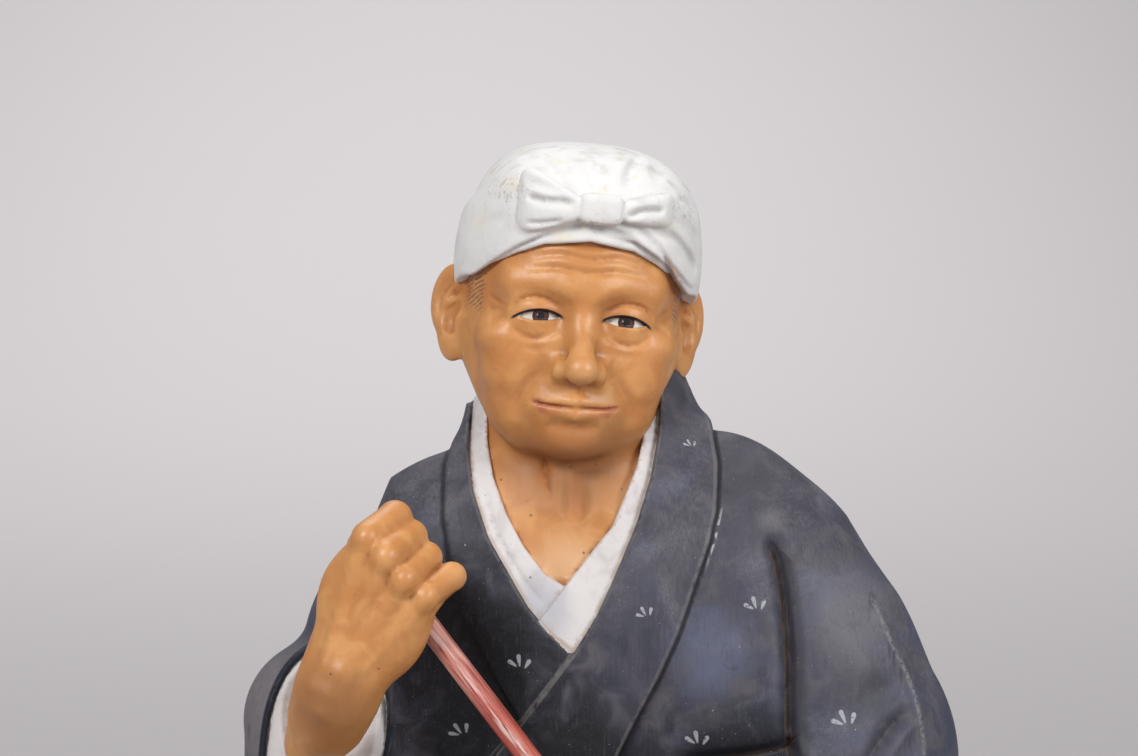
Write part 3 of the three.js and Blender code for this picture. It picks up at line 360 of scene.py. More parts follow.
def neck(p):
    x, y, z = p
    d = grown(limb(p, (0.5, 21, 214), (0.5, 19, 186), 13.6, 14.8), p,
              (limb, (12.5, 15, 209), (8.5, 9, 184), 5.2, 4.2, 5),
              (limb, (-10, 15, 209), (-8, 10, 184), 4.4, 3.6, 5),
              (limb, (-11.2, 11, 208), (-4, 5, 186), 2.2, 1.6, 4),
              (limb, (-3.2, 6.4, 206), (-1.6, 4.3, 190.5), 1.8, 1.2, 1.5),
              (limb, (11.5, 11.4, 208), (3.6, 5, 187.5), 2.8, 1.8, 4))
    chest = trim(trunk(p) + 1.7, z - 190 - 1.2 * (y - 3), 6)
    d = join(d, most(chest, 160 - z, within(x, z, SKIN_LEFT, SKIN_RIGHT, 1), y - 30), 9)
    d = trim(d, -ellipsoid(p, (1.4, 0.4, 192), (2.6, 3.8, 4.8)), 3)
    d = d + groove(x, z, [(-5, 200), (-4.7, 195.5), (-3.7, 191.5)], 0.6, 0.5) * ease((12 - y) / 4)
    return np.maximum(d, trunk(p) + 1.2)


def head(p):
    q = seen_from(p, *HEAD)
    return join(join(face(q), ear(q), 1.2), neck(p), 3)


# The head scarf: a crown, a broad band round it, the strip at the brow and a flat bow.

def bow_loop(q, side, inner, outer, thick):
    """A flat loop: its two ends are given as (x, low z, high z), and its middle hugs the band."""
    x, y, z = q
    t = np.clip((x - inner[0]) / (outer[0] - inner[0]), 0, 1)
    grow = ease(t) * 0.55 + t * 0.45
    low = inner[1] + (outer[1] - inner[1]) * grow
    high = inner[2] + (outer[2] - inner[2]) * grow
    half = np.maximum((high - low) / 2, 0.5)
    rest = -22.6 + 0.021 * x * x + 0.08 * np.maximum(z - 24, 0)
    u = side * (x - (inner[0] + outer[0]) / 2) / (abs(outer[0] - inner[0]) / 2)
    v = (z - (low + high) / 2) / half
    edge = (np.abs(u) ** 4 + np.abs(v) ** 4 + 1e-6) ** 0.25
    swell = thick * np.maximum(1 - np.clip(edge, 0, 1) ** 4, 0) ** 0.5
    return np.maximum((np.abs(y - rest) - swell) * 0.7, (edge - 1) * np.minimum(half, 5))


def bow(q):
    d = bow_loop(q, -1, (-2.4, 20.6, 26.4), (-15, 17, 31.4), 2.4)
    d = join(d, bow_loop(q, 1, (5, 21.2, 25.8), (16.6, 20.4, 28.2), 2.8), 0.3)
    return join(d, block(q, (1.3, -22.6, 23.7), (4.5, 2.5, 3.1), 4), 0.7)


# Creases of the bow and the band, and of the crown, as (line, width, depth).
BAND_CREASES = [([(-13.4, 24.8), (-9.5, 24.4), (-6.5, 24.6), (-4.2, 24.4)], 0.8, 1),
                ([(-14.4, 28.4), (-10.4, 27.2), (-5.6, 26)], 1.1, 0.45),
                ([(-13.6, 19.6), (-10, 20), (-6, 21)], 0.55, 0.5),
                ([(6.4, 22.4), (9.4, 24), (14.2, 24.3)], 0.75, 0.9),
                ([(8.8, 20.6), (12.6, 18), (16.4, 13.8), (18.6, 10)], 0.7, 0.8),
                ([(11.5, 20.6), (16.6, 19.2), (20.6, 15.4), (23.6, 11.2)], 0.95, 1.25),
                ([(17.2, 23.2), (20.6, 21), (23.6, 16.8), (24.6, 13.6)], 0.9, 0.9),
                ([(17.4, 26.8), (20.4, 25.4), (22.8, 22.6)], 0.7, 0.7),
                ([(-16, 24.6), (-19.4, 22.6), (-23.4, 17.6)], 1.2, 0.45),
                ([(-15.6, 20.2), (-19.6, 18.4), (-23.6, 13)], 1, 0.4)]
CROWN_CREASES = [([(-4.6, 27.6), (-9.6, 31), (-14.4, 32.2)], 1.3, 1.1),
                 ([(-1.6, 28), (-5, 31.6), (-10, 34.4)], 1.9, 0.9),
                 ([(6.4, 27.6), (7.6, 31), (10.8, 34)], 1.2, 1.2),
                 ([(11.6, 30.2), (15, 32.2), (19.6, 31.6)], 1.4, 0.8)]
# Edges of the scarf, as (place across, height): the hem, the band's top, and the band's rise above the hem.
HEM = [(0, 17), (9, 15.6), (14, 13.2), (18.5, 10.2), (22, 7), (30, 5)]
BAND_TOP = [(-26, 21.5), (-20, 25.2), (-14, 26.6), (-8, 25), (0, 22), (8, 24), (16, 27), (21, 26.4),
            (26, 24)]
BAND_RISE = [(0, 4.6), (8, 3.2), (16, 1.2), (21, 0)]


def scarf(p):
    q = seen_from(p, *HEAD)
    x, y, z = q
    across = np.abs(x)
    front = ease((-y - 2) / 8)
    back = ease((y + 6) / 26)
    hem = between(across, HEM) - 6.5 * back
    crown = block(q, (1.4, 5, 13), (23.6, 27, 22.1), 2.7)
    crown = trim(crown, hem + 2 - z, 1) + grooves(x, z, CROWN_CREASES) * front
    band = trim(ellipsoid(q, (0.7, 5.2, 10.5), (25.4, 29.4, 31)), z - (between(x, BAND_TOP) - 3 * back), 2.4)
    band = trim(band, hem + between(across, BAND_RISE) * front - z, 1)
    strip = trim(ellipsoid(q, (0, 5, 10.5), (23.9, 27.9, 30)), np.maximum(z - hem - 8, hem - z), 1.2)
    d = join(join(crown, band, 1), strip, 0.6)
    return join(d, bow(q), 0.9) + grooves(x, z, BAND_CREASES) * ease((-y - 4) / 6)


# Edges of the collars seen from the front, as (height, place across).
DARK_RIGHT = [(161.5, 0.8), (169.3, 5.6), (178.8, 9.9), (187, 13.4), (196.2, 16.4), (204.8, 18.1),
              (220, 18.8)]
DARK_LEFT = [(161.5, 0.8), (165.8, -4), (171, -8.3), (178.4, -12.6), (184.4, -16.1), (193.1, -19.2),
             (201.8, -20.5), (220, -20)]
SKIN_RIGHT = [(174.4, -0.6), (179.7, 4.7), (185.3, 8.2), (192.2, 11.2), (198.3, 13.8), (209.6, 16.2),
              (220, 16.6)]
SKIN_LEFT = [(174.4, -0.6), (177, -4.8), (182.7, -9.2), (188.8, -12.6), (195.7, -15.3), (202.7, -16.6),
             (220, -17)]
SEAM_RIGHT = [(130, 5), (140.8, 10), (146.6, 12.7), (156.8, 18), (165.4, 21.8), (174.5, 25), (183.6, 28.2),
              (190, 29.8), (198.6, 30.3), (206, 29.3), (220, 25)]
SEAM_LEFT = [(146.8, -9.4), (158.2, -16), (172, -22.8), (188, -25.2), (198, -25.2), (204, -23.5), (220, -23)]
LAP_EDGE = [(120, -34), (132, -22), (145, -11.5), (161.5, 0.8)]
COLLAR_POINT = 161.5
SKIN_POINT = 174.4
NECK_MIDDLE = 22
# Where the dark collar bands end: how far back, and how low the left and the right one.
BANDS_BACK = 26
LEFT_BAND_END = 146
RIGHT_BAND_END = 128

# Shoulders are drawn deeper than they are, so that round limbs come out flattened front to back.
SHOULDER_FLATNESS = 1.7
SHOULDER_MIDDLE = 18
# What the drawn distances are divided by, as they come out too long.
SHOULDER_STRETCH = 1.25


def shoulders(p):
    q = np.stack([p[0], (p[1] - SHOULDER_MIDDLE) * SHOULDER_FLATNESS, p[2]])
    d = chain(q, [(25.6, 0, 161.6), (35.2, -2, 149.6), (43.6, -5, 136)], (40.4, 38.3, 36.6), 2)
    return grown(d, q,
                 (limb, (21, 0, 190.6), (30, 0, 189.6), 13, 13.2, 8),
                 (limb, (-14.5, 0, 163), (-23, 0, 157), 38.6, 32, 3),
                 (limb, (-23, 0, 157), (-37, 0, 150), 32, 18, 2)) / SHOULDER_STRETCH


def torso(p):
    return grown(ellipsoid(p, (2, 36, 82), (44, 34, 50)), p,
                 (ellipsoid, (3, 22, 148), (42, 26, 46), 20),
                 (ellipsoid, (2, 34, 172), (30, 17, 30), 10))


def trunk(p):
    d = join(torso(p), shoulders(p), 4)
    return join(d, limb(p, (3, 27, 194), (0.8, 26.4, 217), 27.4, 19.8), 5)


def rim(x, y):
    """The height at which the robe ends behind the neck."""
    return 214.2 + 0.16 * x - 0.016 * np.maximum(y - 20, 0) ** 2


def right_sleeve(p):
    return grown(limb(p, (-50, 12, 145.5), (-46, 14, 114), 16.6, 18.5), p,
                 (limb, (-49, 6, 132), (-50, -10, 118), 14, 12, 8),
                 (ellipsoid, (-48, 2, 96), (17, 20, 34), 10))


def left_sleeve(p):
    return grown(limb(p, (50, 14, 131), (55, 6, 122), 19.5, 19.5), p,
                 (limb, (56, 8, 122), (40, -24, 122), 18.5, 15, 10),
                 (ellipsoid, (45, -6, 103), (20, 17, 30), 10))


# Each sleeve, the place and axes of its opening, and the funnel in it: half its width and height, how low
# its middle is and how much it flares. The right sleeve has slid down the raised arm.
RIGHT = (right_sleeve,
         ((-48.2, -4, 146), facing_axes((0.16, -0.84, 0.52), (0.22, 0, 0.975))),
         (12.6, 21.5, 0.5, 0.012))
LEFT = (left_sleeve,
        ((41, -27.5, 123.5), facing_axes((-0.5, -0.85, 0.12), (0.05, 0, 1))),
        (10, 14.5, 3.5, 0))


def ring(x, y, half_width, half_depth):
    """How far out a place is from an oval, 0 on it."""
    return length_of(np.stack([x / half_width, y / half_depth])) - 1


def funnel(q, half_width, half_height, low, flare):
    return (ring(q[0], q[1] + low, half_width, half_height) - flare * q[2]) * half_width


def with_sleeve(d, p, side, soft, depth):
    """A body with a sleeve that is open to a depth."""
    sleeve, opening, sizes = side
    q = seen_from(p, *opening)
    d = join(d, trim(sleeve(p), q[2], 0.8), soft)
    return trim(d, -np.maximum(funnel(q, *sizes), -q[2] - depth), 0.5)


def lap(p):
    d = brick(p, (1, -3, 29), (58, 70, 14), 13)
    for side in (-1, 1):
        d = join(d, limb(p, (side * 20, 34, 50), (side * 27, -54, 40), 34, 23), 12)
    return d


ARMPIT = [(39.8, 185), (41.9, 178), (43.1, 171), (43.8, 162), (43.9, 152), (44.2, 143), (45, 136)]
UNDER_ARMPIT = [(44.7, 143.9), (42.6, 142.2), (37, 141), (30, 140), (22, 139)]
ELBOW_RIDGE = [(61.5, 171), (65.7, 161.5), (68.8, 155), (70.6, 149), (71.5, 143), (72, 136)]
ELBOW_FOLD = [(68.6, 149.5), (64.5, 145.5), (60.5, 140.5), (57, 134)]
# The deep fold at the doll's left armpit, the turn under it and the folds at the elbow.
ROBE_FOLDS = [(ARMPIT, 1.3, 3.4, 6),
              (shifted(ARMPIT, 2.2), 3.4, 1.3),
              ([(38, 191), (42.6, 186.5), (45.8, 180)], 2.2, -0.7),
              (UNDER_ARMPIT, 1.6, 2.6, 6),
              (UNDER_ARMPIT, 3.6, 1.4),
              (ELBOW_RIDGE, 1.2, -1.2),
              (shifted(ELBOW_RIDGE, 4.4), 2.6, 0.8),
              ([(58, 153), (62.6, 152.4), (66.4, 151)], 3.4, 0.9),
              (ELBOW_FOLD, 1.5, 2.2, 4, 1.6),
              (shifted(ELBOW_FOLD, 2, -1.7), 1.5, -1.1)]


def collar_bands(p, t):
    x, y, z = p
    left = most(within(x, z, SEAM_LEFT, DARK_LEFT), y - BANDS_BACK, LEFT_BAND_END - z)
    edge = np.where(z > COLLAR_POINT, between(z, DARK_RIGHT), between(z, LAP_EDGE))
    right = most(edge - x, x - between(z, SEAM_RIGHT), y - BANDS_BACK, RIGHT_BAND_END - z)
    return np.minimum(trim(t - 1.2, left, 0.9), trim(t - 1.9, right, 0.9))


def neck_well(x, y, z, half_width, half_depth):
    return np.maximum(ring(x, y - NECK_MIDDLE, half_width, half_depth) * half_width, 190 - z)


def robe(p):
    x, y, z = p
    t = trunk(p)
    d = with_sleeve(with_sleeve(t, p, LEFT, 5, 10), p, RIGHT, 4, 12)
    d = join(d, lap(p), 10)
    flap = trim(d - 1, np.maximum(x - 9 - 0.1 * (95 - z), z - 96), 1)
    d = np.where((y < -20) & (x > -50), np.minimum(d, flap), d)
    d = d + grooves(x, z, ROBE_FOLDS) * ease((16 - y) / 8)
    d = np.minimum(d, collar_bands(p, t))
    opening = most(within(x, z, DARK_LEFT, DARK_RIGHT), COLLAR_POINT - z, y - NECK_MIDDLE)
    d = trim(d, -np.maximum(opening, -t - 12), 0.4)
    d = trim(d, -neck_well(x, y, z, 19.2, 19.5), 0.5)
    return np.maximum(trim(d, z - rim(x, y), 1.5), SEAT - z)


def right_of(x, z, a, b):
    """How far a place is to the right of the line from a up to b, in the front view."""
    run = (b[0] - a[0], b[1] - a[1])
    return ((x - a[0]) * run[1] - (z - a[1]) * run[0]) / math.hypot(run[0], run[1])


# The groove beside the roll along the inner collar's left edge: its line, width, depth and fade.
COLLAR_ROLL = ([(-16.8, 193), (-15.2, 186.7), (-9.8, 177), (-5.2, 171.2)], 0.55, 0.6, 6)


def under_collar(p):
    """The white inner collar: a band round the neck, one end of it laid over the other."""
    x, y, z = p
    t = trunk(p)
    front = most(within(x, z, DARK_LEFT, DARK_RIGHT, 2), 159 - z, y - NECK_MIDDLE)
    around = ring(x, y - NECK_MIDDLE, 21.2, 21.5) * 21
    reach = np.minimum(front, most(around, 192 - z, 12 - y))
    d = most(t + 0.25 + groove(x, z, *COLLAR_ROLL), -t - 14, reach)
    skin = most(within(x, z, SKIN_LEFT, SKIN_RIGHT), SKIN_POINT - z, y - NECK_MIDDLE)
    d = trim(trim(d, -skin, 0.4), -neck_well(x, y, z, 16.9, 17.2), 0.5)
    over = t + 0.25 - 1.1 * ease((198 - z) / 22)
    over = most(-right_of(x, z, (-7.2, 166.6), (-1.4, 173.8)), over, -t - 4, reach, y - 10)
    over = np.maximum(over, right_of(x, z, (0, 172), (6, 181)) - 20)
    return trim(np.minimum(d, over), z - rim(x, y) - 0.6, 1)


LINING_START = 0.9
LINING_DEPTH = 13


def lining(p, sleeve, opening, sizes):
    """A white lining that starts just inside a sleeve's opening and closes in on the arm."""
    q = seen_from(p, *opening)
    wall = funnel(q, *sizes)
    depth = -q[2]
    half = LINING_DEPTH / 2
    d = most(sleeve(p) + 1.2, wall - 3, np.abs(depth - half) - half + LINING_START)
    return trim(d, -(wall + 0.5 + 0.95 * np.maximum(depth - LINING_START, 0)), 0.4)


def mouth_lining(p):
    return lining(p, *RIGHT)


def cuff_lining(p):
    return lining(p, *LEFT)


def sash(p):
    level = np.abs(p[2] - 104 + 0.1 * (p[1] - 20)) - 10.5
    return join(trim(torso(p) - 2, level, 1.2), block(p, (2, 66, 112), (17, 6.5, 12), 3.6), 1.5)


def socks(p):
    d = np.full(p.shape[1], 1e3, np.float32)
    for side in (-1, 1):
        sole = ellipsoid(p, (side * 11, 62, 22.5), (8.6, 22, 8.6))
        d = np.minimum(d, join(sole, ellipsoid(p, (side * 9.5, 75, 20.5), (8.2, 8, 6.5)), 3))
    return np.maximum(d, SEAT - p[2])


# A closed fist in its own frame: side from wrist to knuckles, up to the little finger, out of its back.
HAND_SIZE = 0.94
PALM_ROUND_STICK = 4.7
# Each finger's knuckle, middle joint, end joint, tip and radius.
FINGERS = [((32.2, -5.6, -0.9), (36.2, -3.2, -10.4), (28.6, -4.8, -17.4), (23.2, -5.6, -13.2), 3.6),
           ((30.8, -0.2, 0.8), (33.8, 1.2, -11.2), (26.6, -0.2, -18.2), (21.4, -1, -13.6), 3.6),
           ((28, 5, 0.3), (31.2, 6, -11), (24.2, 4.4, -17.6), (19.6, 3.4, -13), 3.4),
           ((26.2, 10.2, -1.8), (30.2, 12.6, -9.8), (23.2, 10, -15.2), (18.6, 7.8, -11.4), 3)]
HAND_VEIN = [(22, 2.4, 1.6), (17, 5.2, 0.6), (11, 3.4, 1.8), (4, 3.2, 2.7), (-2, 3, 1.9)]
VEIN_RADII = (0.7, 0.9, 0.8, 0.6, 0.4)
TENDONS = [[(14, -2.4, 0.6), (5, -2.4, 2.1), (0, -3, 2.3), (-4, -3.4, 1), (-9, -3.6, -4.2)],
           [(14, 1, 0.6), (5, 1, 2.7), (0, 0.6, 3.2), (-4, 0.2, 2.6), (-9, -0.2, -1.6)]]
TENDON_RADII = (0.6, 0.9, 0.7, 0.4, 0.3)


def fist(q):
    d = grown(ellipsoid(q, (14, 1, -3.8), (18.5, 9.8, 5.6)), q,
              (limb, (27.6, -4.6, -2), (22.8, 8.6, -3.2), 4.2, 4, 4),
              (ellipsoid, (20.5, -5.2, -3.4), (9, 6, 4.4), 3),
              (ellipsoid, (15.5, 6.6, -5), (10, 7.2, 6), 4),
              (limb, (3, 0.6, -4.4), (-4, 1, -5.4), 6.6, 7, 6))
    for i, (*joints, r) in enumerate(FINGERS):
        x, y, z = joints[0]
        d = grown(d, q,
                  (limb, (7, (i - 1.5) * 2.6 + 0.6, 1.2), (x - 1, y, z + 0.8), 1, r * 0.6, 1.4),
                  (ellipsoid, (x - 0.4, y, z + 1.1), (3.2, 2.5, 2.7), 1.2),
                  (chain, joints, (r * 0.94, r * 0.96, r * 0.82, r * 0.7), 0.8, 0.9))
    d = join(d, chain(q, HAND_VEIN, VEIN_RADII, 0.5), 1)
    for tendon in TENDONS:
        d = join(d, chain(q, tendon, TENDON_RADII, 1.2), 2.2)
    thumb = grown(limb(q, (3, -1.6, -6), (15, -4.6, -11), 4.6, 4), q,
                  (limb, (15, -4.6, -11), (25, -5.6, -18), 3.9, 3.5, 1.5),
                  (limb, (25, -5.6, -18), (27.5, 0, -21), 3.4, 2.7, 1))
    return join(d, thumb, 2)


def bored(p, d):
    """Cuts the room for the stick out of a hand."""
    top = STICK_TOP - STICK_RUN * STICK_FIT
    run = column(STICK_RUN)
    along = ((p - column(top)) * run).sum(0)
    away = length_of(p - column(top) - run * along) - STICK_RADIUS - STICK_FIT
    return np.maximum(d, -np.maximum(away, -along))


def hand(p, place, start, end, arm, soft):
    """A fist closed round the stick between two places along it, joined to its forearm."""
    d = fist(seen_from(p, *place) / HAND_SIZE) * HAND_SIZE
    closed = limb(p, STICK_TOP + STICK_RUN * start, STICK_TOP + STICK_RUN * end, PALM_ROUND_STICK,
                  PALM_ROUND_STICK)
    return bored(p, join(join(d, closed, 2), arm, soft))


RIGHT_SIDE = unit((0.4, -0.1, 0.91))
RIGHT_UP = square_to(RIGHT_SIDE, (0.92, -0.12, -0.39))
RIGHT_HAND = ((-46.2, -28, 158), axes_of(RIGHT_SIDE, RIGHT_UP, np.cross(RIGHT_UP, RIGHT_SIDE)))
RIGHT_FOREARM = [(-45.3, -22.8, 156), (-47.5, -19.5, 150.4), (-50.3, -15.5, 145), (-54, 12, 134)]
FOREARM_RADII = (7.9, 6.7, 4.7, 4.2)

# The left hand lies round the stick at a grip, measured along the stick from its top.
LEFT_SIDE = unit((-0.85, -0.42, -0.25))
LEFT_UP = square_to(LEFT_SIDE, STICK_RUN)
LEFT_AXES = axes_of(LEFT_SIDE, LEFT_UP, np.cross(LEFT_SIDE, LEFT_UP))
# The place in the fist's own frame through which the stick passes.
STICK_IN_FIST = (24.5, 1, -10.5)
LEFT_PALM = HAND_SIZE * sum(reach * axis for reach, axis in zip(STICK_IN_FIST, LEFT_AXES.T))
LEFT_GRIP = 88
LEFT_WRIST = STICK_TOP + STICK_RUN * LEFT_GRIP - LEFT_PALM
LEFT_ELBOW = (57, 10, 121)


def right_hand(p):
    return hand(p, RIGHT_HAND, 0.6, 14.5, chain(p, RIGHT_FOREARM, FOREARM_RADII, 4), 4)


def left_hand(p):
    arm = limb(p, LEFT_WRIST, LEFT_ELBOW, 7, 8.5)
    return hand(p, (LEFT_WRIST, LEFT_AXES), LEFT_GRIP - 8, LEFT_GRIP + 9, arm, 3)


# Skins of forms. A form is worked out only in the blocks of the grid that its surface may cross.

# Cells along a block, points worked out at a time, and how much farther than a block's corner a surface may
# seem to be and still cross the block.
BLOCK = 8
CHUNK = 400_000
BLOCK_MARGIN = 1.35
SETTLING_ROUNDS = 2
# A body of a mesh with fewer vertices than this share of the largest one's is a chip.
CHIP_SHARE = 0.05


def grid_places(counts):
    """The places of a grid's cells, as three rows."""
    return np.stack(np.meshgrid(*[np.arange(n) for n in counts], indexing="ij"), 0).reshape(3, -1)


def sampled(form, low, high, cell):
    low = np.array(low, float)
    blocks = np.ceil((np.array(high) - low) / (cell * BLOCK)).astype(int)
    half = (BLOCK / 2 - 0.5) * cell
    places = grid_places(blocks)
    middles = form((low[:, None] + places * BLOCK * cell + half).astype(np.float32))
    near = np.abs(middles) < (half * math.sqrt(3) + cell * 2) * BLOCK_MARGIN
    field = middles.reshape(blocks)
    for axis in range(3):
        field = np.repeat(field, BLOCK, axis)
    field = np.ascontiguousarray(field, np.float32)
    steps = grid_places([BLOCK] * 3)
    cells = (places[:, near][:, :, None] * BLOCK + steps[:, None, :]).reshape(3, -1)
    for start in range(0, cells.shape[1], CHUNK):
        part = cells[:, start:start + CHUNK]
        field[part[0], part[1], part[2]] = form((low[:, None] + part * cell).astype(np.float32))
    return field, low


def settled(form, p, cell):
    """Points moved onto the surface of a form."""
    h = cell * 0.25
    for _ in range(SETTLING_ROUNDS):
        slope = []
        for axis in np.eye(3, dtype=np.float32):
            step = axis.reshape(3, 1) * h
            slope.append((form(p + step) - form(p - step)) / (2 * h))
        slope = np.stack(slope)
        push = form(p) / np.maximum((slope * slope).sum(0), 0.25)
        p = p - slope * np.clip(push, -cell * 0.6, cell * 0.6)
    return p


def in_scene(name, data):
    """A new object in the scene."""
    piece = bpy.data.objects.new(name, data)
    bpy.context.scene.collection.objects.link(piece)
    return piece


def skinned(name, form, low, high, cell):
    """A mesh object of a form, in metres."""
    field, corner = sampled(form, low, high, cell)
    grid = openvdb.FloatGrid(float(4 * cell))
    grid.copyFromArray(field)
    points, quads = grid.convertToQuads(isovalue=0.0)
    p = settled(form, (corner[:, None] + points.T * cell).astype(np.float32), cell)
    mesh = bpy.data.meshes.new(name)
    mesh.vertices.add(len(points))
    mesh.vertices.foreach_set("co", (p.T * METRES).astype(np.float32).ravel())
    loops = np.ascontiguousarray(quads, np.int32)
    mesh.loops.add(loops.size)
    mesh.loops.foreach_set("vertex_index", loops.ravel())
    mesh.polygons.add(len(loops))
    mesh.polygons.foreach_set("loop_start", np.arange(0, loops.size, 4, dtype=np.int32))
    mesh.update(calc_edges=True)
    mesh.validate()
    return in_scene(name, mesh)


# The forms that make the figure: their box, the cell of the grid, the share of faces kept and the paint.
FORMS = [
    ("robe", robe, (-76, -90, 12), (90, 80, 224), 1.0, 0.33, "robe"),
    ("under_collar", under_collar, (-26, -14, 154), (26, 52, 224), 0.6, 0.25, "collar"),
    ("mouth_lining", mouth_lining, (-66, -32, 112), (-28, 22, 178), 0.6, 0.35, "collar"),
    ("cuff_lining", cuff_lining, (24, -52, 92), (66, 2, 150), 0.8, 0.35, "collar"),
    ("sash", sash, (-52, -20, 86), (60, 80, 128), 1.3, 0.3, "sash"),
    ("socks", socks, (-24, 34, 12), (24, 88, 36), 1.1, 0.35, "collar"),
    ("head", head, (-34, -16, 156), (34, 54, 264), 0.5, 0.33, "skin"),
    ("scarf", scarf, (-34, -18, 220), (36, 54, 268), 0.5, 0.27, "scarf"),
    ("right_hand", right_hand, (-70, -50, 120), (-14, 22, 206), 0.5, 0.37, "skin"),
    ("left_hand", left_hand, (-8, -62, 92), (72, 24, 142), 0.7, 0.2, "skin"),
]


def rows_of(items, key, kind, width):
    """What a mesh keeps on each of its items, as rows."""
    values = np.zeros(len(items) * width, kind)
    items.foreach_get(key, values)
    return values.reshape(-1, width).T


def edge_ends(mesh):
    return rows_of(mesh.edges, "vertices", np.int32, 2)


def changed(piece, kind, **settings):
    """Applies a modifier to a piece."""
    modifier = piece.modifiers.new(kind, kind)
    for key, value in settings.items():
        setattr(modifier, key, value)
    bpy.ops.object.select_all(action="DESELECT")
    piece.select_set(True)
    bpy.context.view_layer.objects.active = piece
    bpy.ops.object.modifier_apply(modifier=modifier.name)


def without_chips(piece):
    """Deletes what isn't part of the largest body of a mesh."""
    mesh = piece.data
    a, b = edge_ends(mesh)
    group = np.arange(len(mesh.vertices))
    while True:
        lower = np.minimum(group[a], group[b])
        after = group.copy()
        np.minimum.at(after, a, lower)
        np.minimum.at(after, b, lower)
        after = after[after]
        if (after == group).all():
            break
        group = after
    sizes = np.bincount(group)
    loose = np.flatnonzero(sizes[group] < sizes.max() * CHIP_SHARE)
    if len(loose):
        form = bmesh.new()
        form.from_mesh(mesh)
        form.verts.ensure_lookup_table()
        bmesh.ops.delete(form, geom=[form.verts[i] for i in loose], context="VERTS")
        form.to_mesh(mesh)
        form.free()


def united(pieces):
    """One closed piece out of several, each face keeping its own paint."""
    whole = pieces[0]
    for piece in pieces[1:]:
        changed(whole, "BOOLEAN", operation="UNION", solver="MANIFOLD", material_mode="TRANSFER",
                object=piece)
        bpy.data.objects.remove(piece)
    return whole


# Values kept on the vertices, which the paints read.

# A distance at which no painted line shows any more.
FAR = 9
# How many times the bend is evened out, close by and more broadly.
BEND_TURNS = 2
SWELL_TURNS = 40


def vertex_rows(mesh):
    """The vertices' places in millimetres and their normals, each as three rows."""
    place = rows_of(mesh.vertices, "co", np.float32, 3) / METRES
    return place, rows_of(mesh.vertex_normals, "vector", np.float32, 3)


def spread(values, a, b, turns):
    """Values evened out with their neighbours' a number of times."""
    near = np.bincount(a, minlength=len(values)) + np.bincount(b, minlength=len(values)) + 1
    for _ in range(turns):
        total = values + np.bincount(a, values[b], len(values)) + np.bincount(b, values[a], len(values))
        values = total / near
    return values


def keep(mesh, name, values):
    """Stores one number, or three rows of them, for each vertex."""
    values = np.array(values, np.float32)
    kind, key = ("FLOAT", "value") if values.ndim == 1 else ("FLOAT_VECTOR", "vector")
    mesh.attributes.new(name, kind, "POINT").data.foreach_set(key, values.T.ravel().copy())


def keep_shape(mesh):
    """How much the surface bends out at each vertex, per millimetre, close by and more broadly.

    It is negative in a crease.
    """
    place, normal = vertex_rows(mesh)
    count = place.shape[1]
    a, b = edge_ends(mesh)
    step = place[:, b] - place[:, a]
    square = np.maximum((step * step).sum(0), 0.02)
    out = np.bincount(a, -(step * normal[:, a]).sum(0) / square, count)
    out += np.bincount(b, (step * normal[:, b]).sum(0) / square, count)
    near = np.bincount(a, minlength=count) + np.bincount(b, minlength=count)
    bend = np.clip(out / np.maximum(near, 1), -1.5, 1.5)
    keep(mesh, "bend", spread(bend, a, b, BEND_TURNS))
    keep(mesh, "swell", spread(bend, a, b, SWELL_TURNS))


def sleeve_rim(p):
    """How far out a place near a sleeve's opening is from the opening's wall."""
    out = np.full(p.shape[1], FAR, np.float32)
    for sleeve, opening, sizes in (RIGHT, LEFT):
        q = seen_from(p, *opening)
        near = (np.abs(sleeve(p)) < 1.2) & (q[2] < 1.5) & (q[2] > -16)
        out = np.where(near, np.minimum(out, funnel(q, *sizes)), out)
    return out


# Above this height the painted shade and the brown line at the armpit's fold die away, and behind this depth
# no fold has one.
ARMPIT_LINE_END = 179
FOLD_LINES_BACK = 24


def keep_edges(mesh):
    """How far a place is from the collar bands' edge and two seams, from folds and from a sleeve's rim."""
    place, _ = vertex_rows(mesh)
    x, y, z = place
    opening = within(x, z, DARK_LEFT, DARK_RIGHT)
    inner = np.where(z > COLLAR_POINT, opening, np.abs(x - between(z, LAP_EDGE)))
    seam = np.where(z > RIGHT_BAND_END + 2, x - between(z, SEAM_RIGHT), FAR)
    other = np.where(z > LEFT_BAND_END, between(z, SEAM_LEFT) - x, FAR)
    hidden = (y > BANDS_BACK) | (z < RIGHT_BAND_END - 6)
    keep(mesh, "edges", np.where(hidden, FAR, np.stack([inner, seam, other])))
    folds = [nearest(x, z, curve_through(line)) for line in (ARMPIT, UNDER_ARMPIT, ELBOW_RIDGE)]
    keep(mesh, "fold_side", np.stack([away * side for away, _, side in folds]))
    away = np.stack([fold[0] for fold in folds])
    away[0] += np.maximum(z - ARMPIT_LINE_END, 0) * 0.8
    keep(mesh, "fold_away", np.where(y > FOLD_LINES_BACK, FAR, away))
    keep(mesh, "rim", sleeve_rim(place))


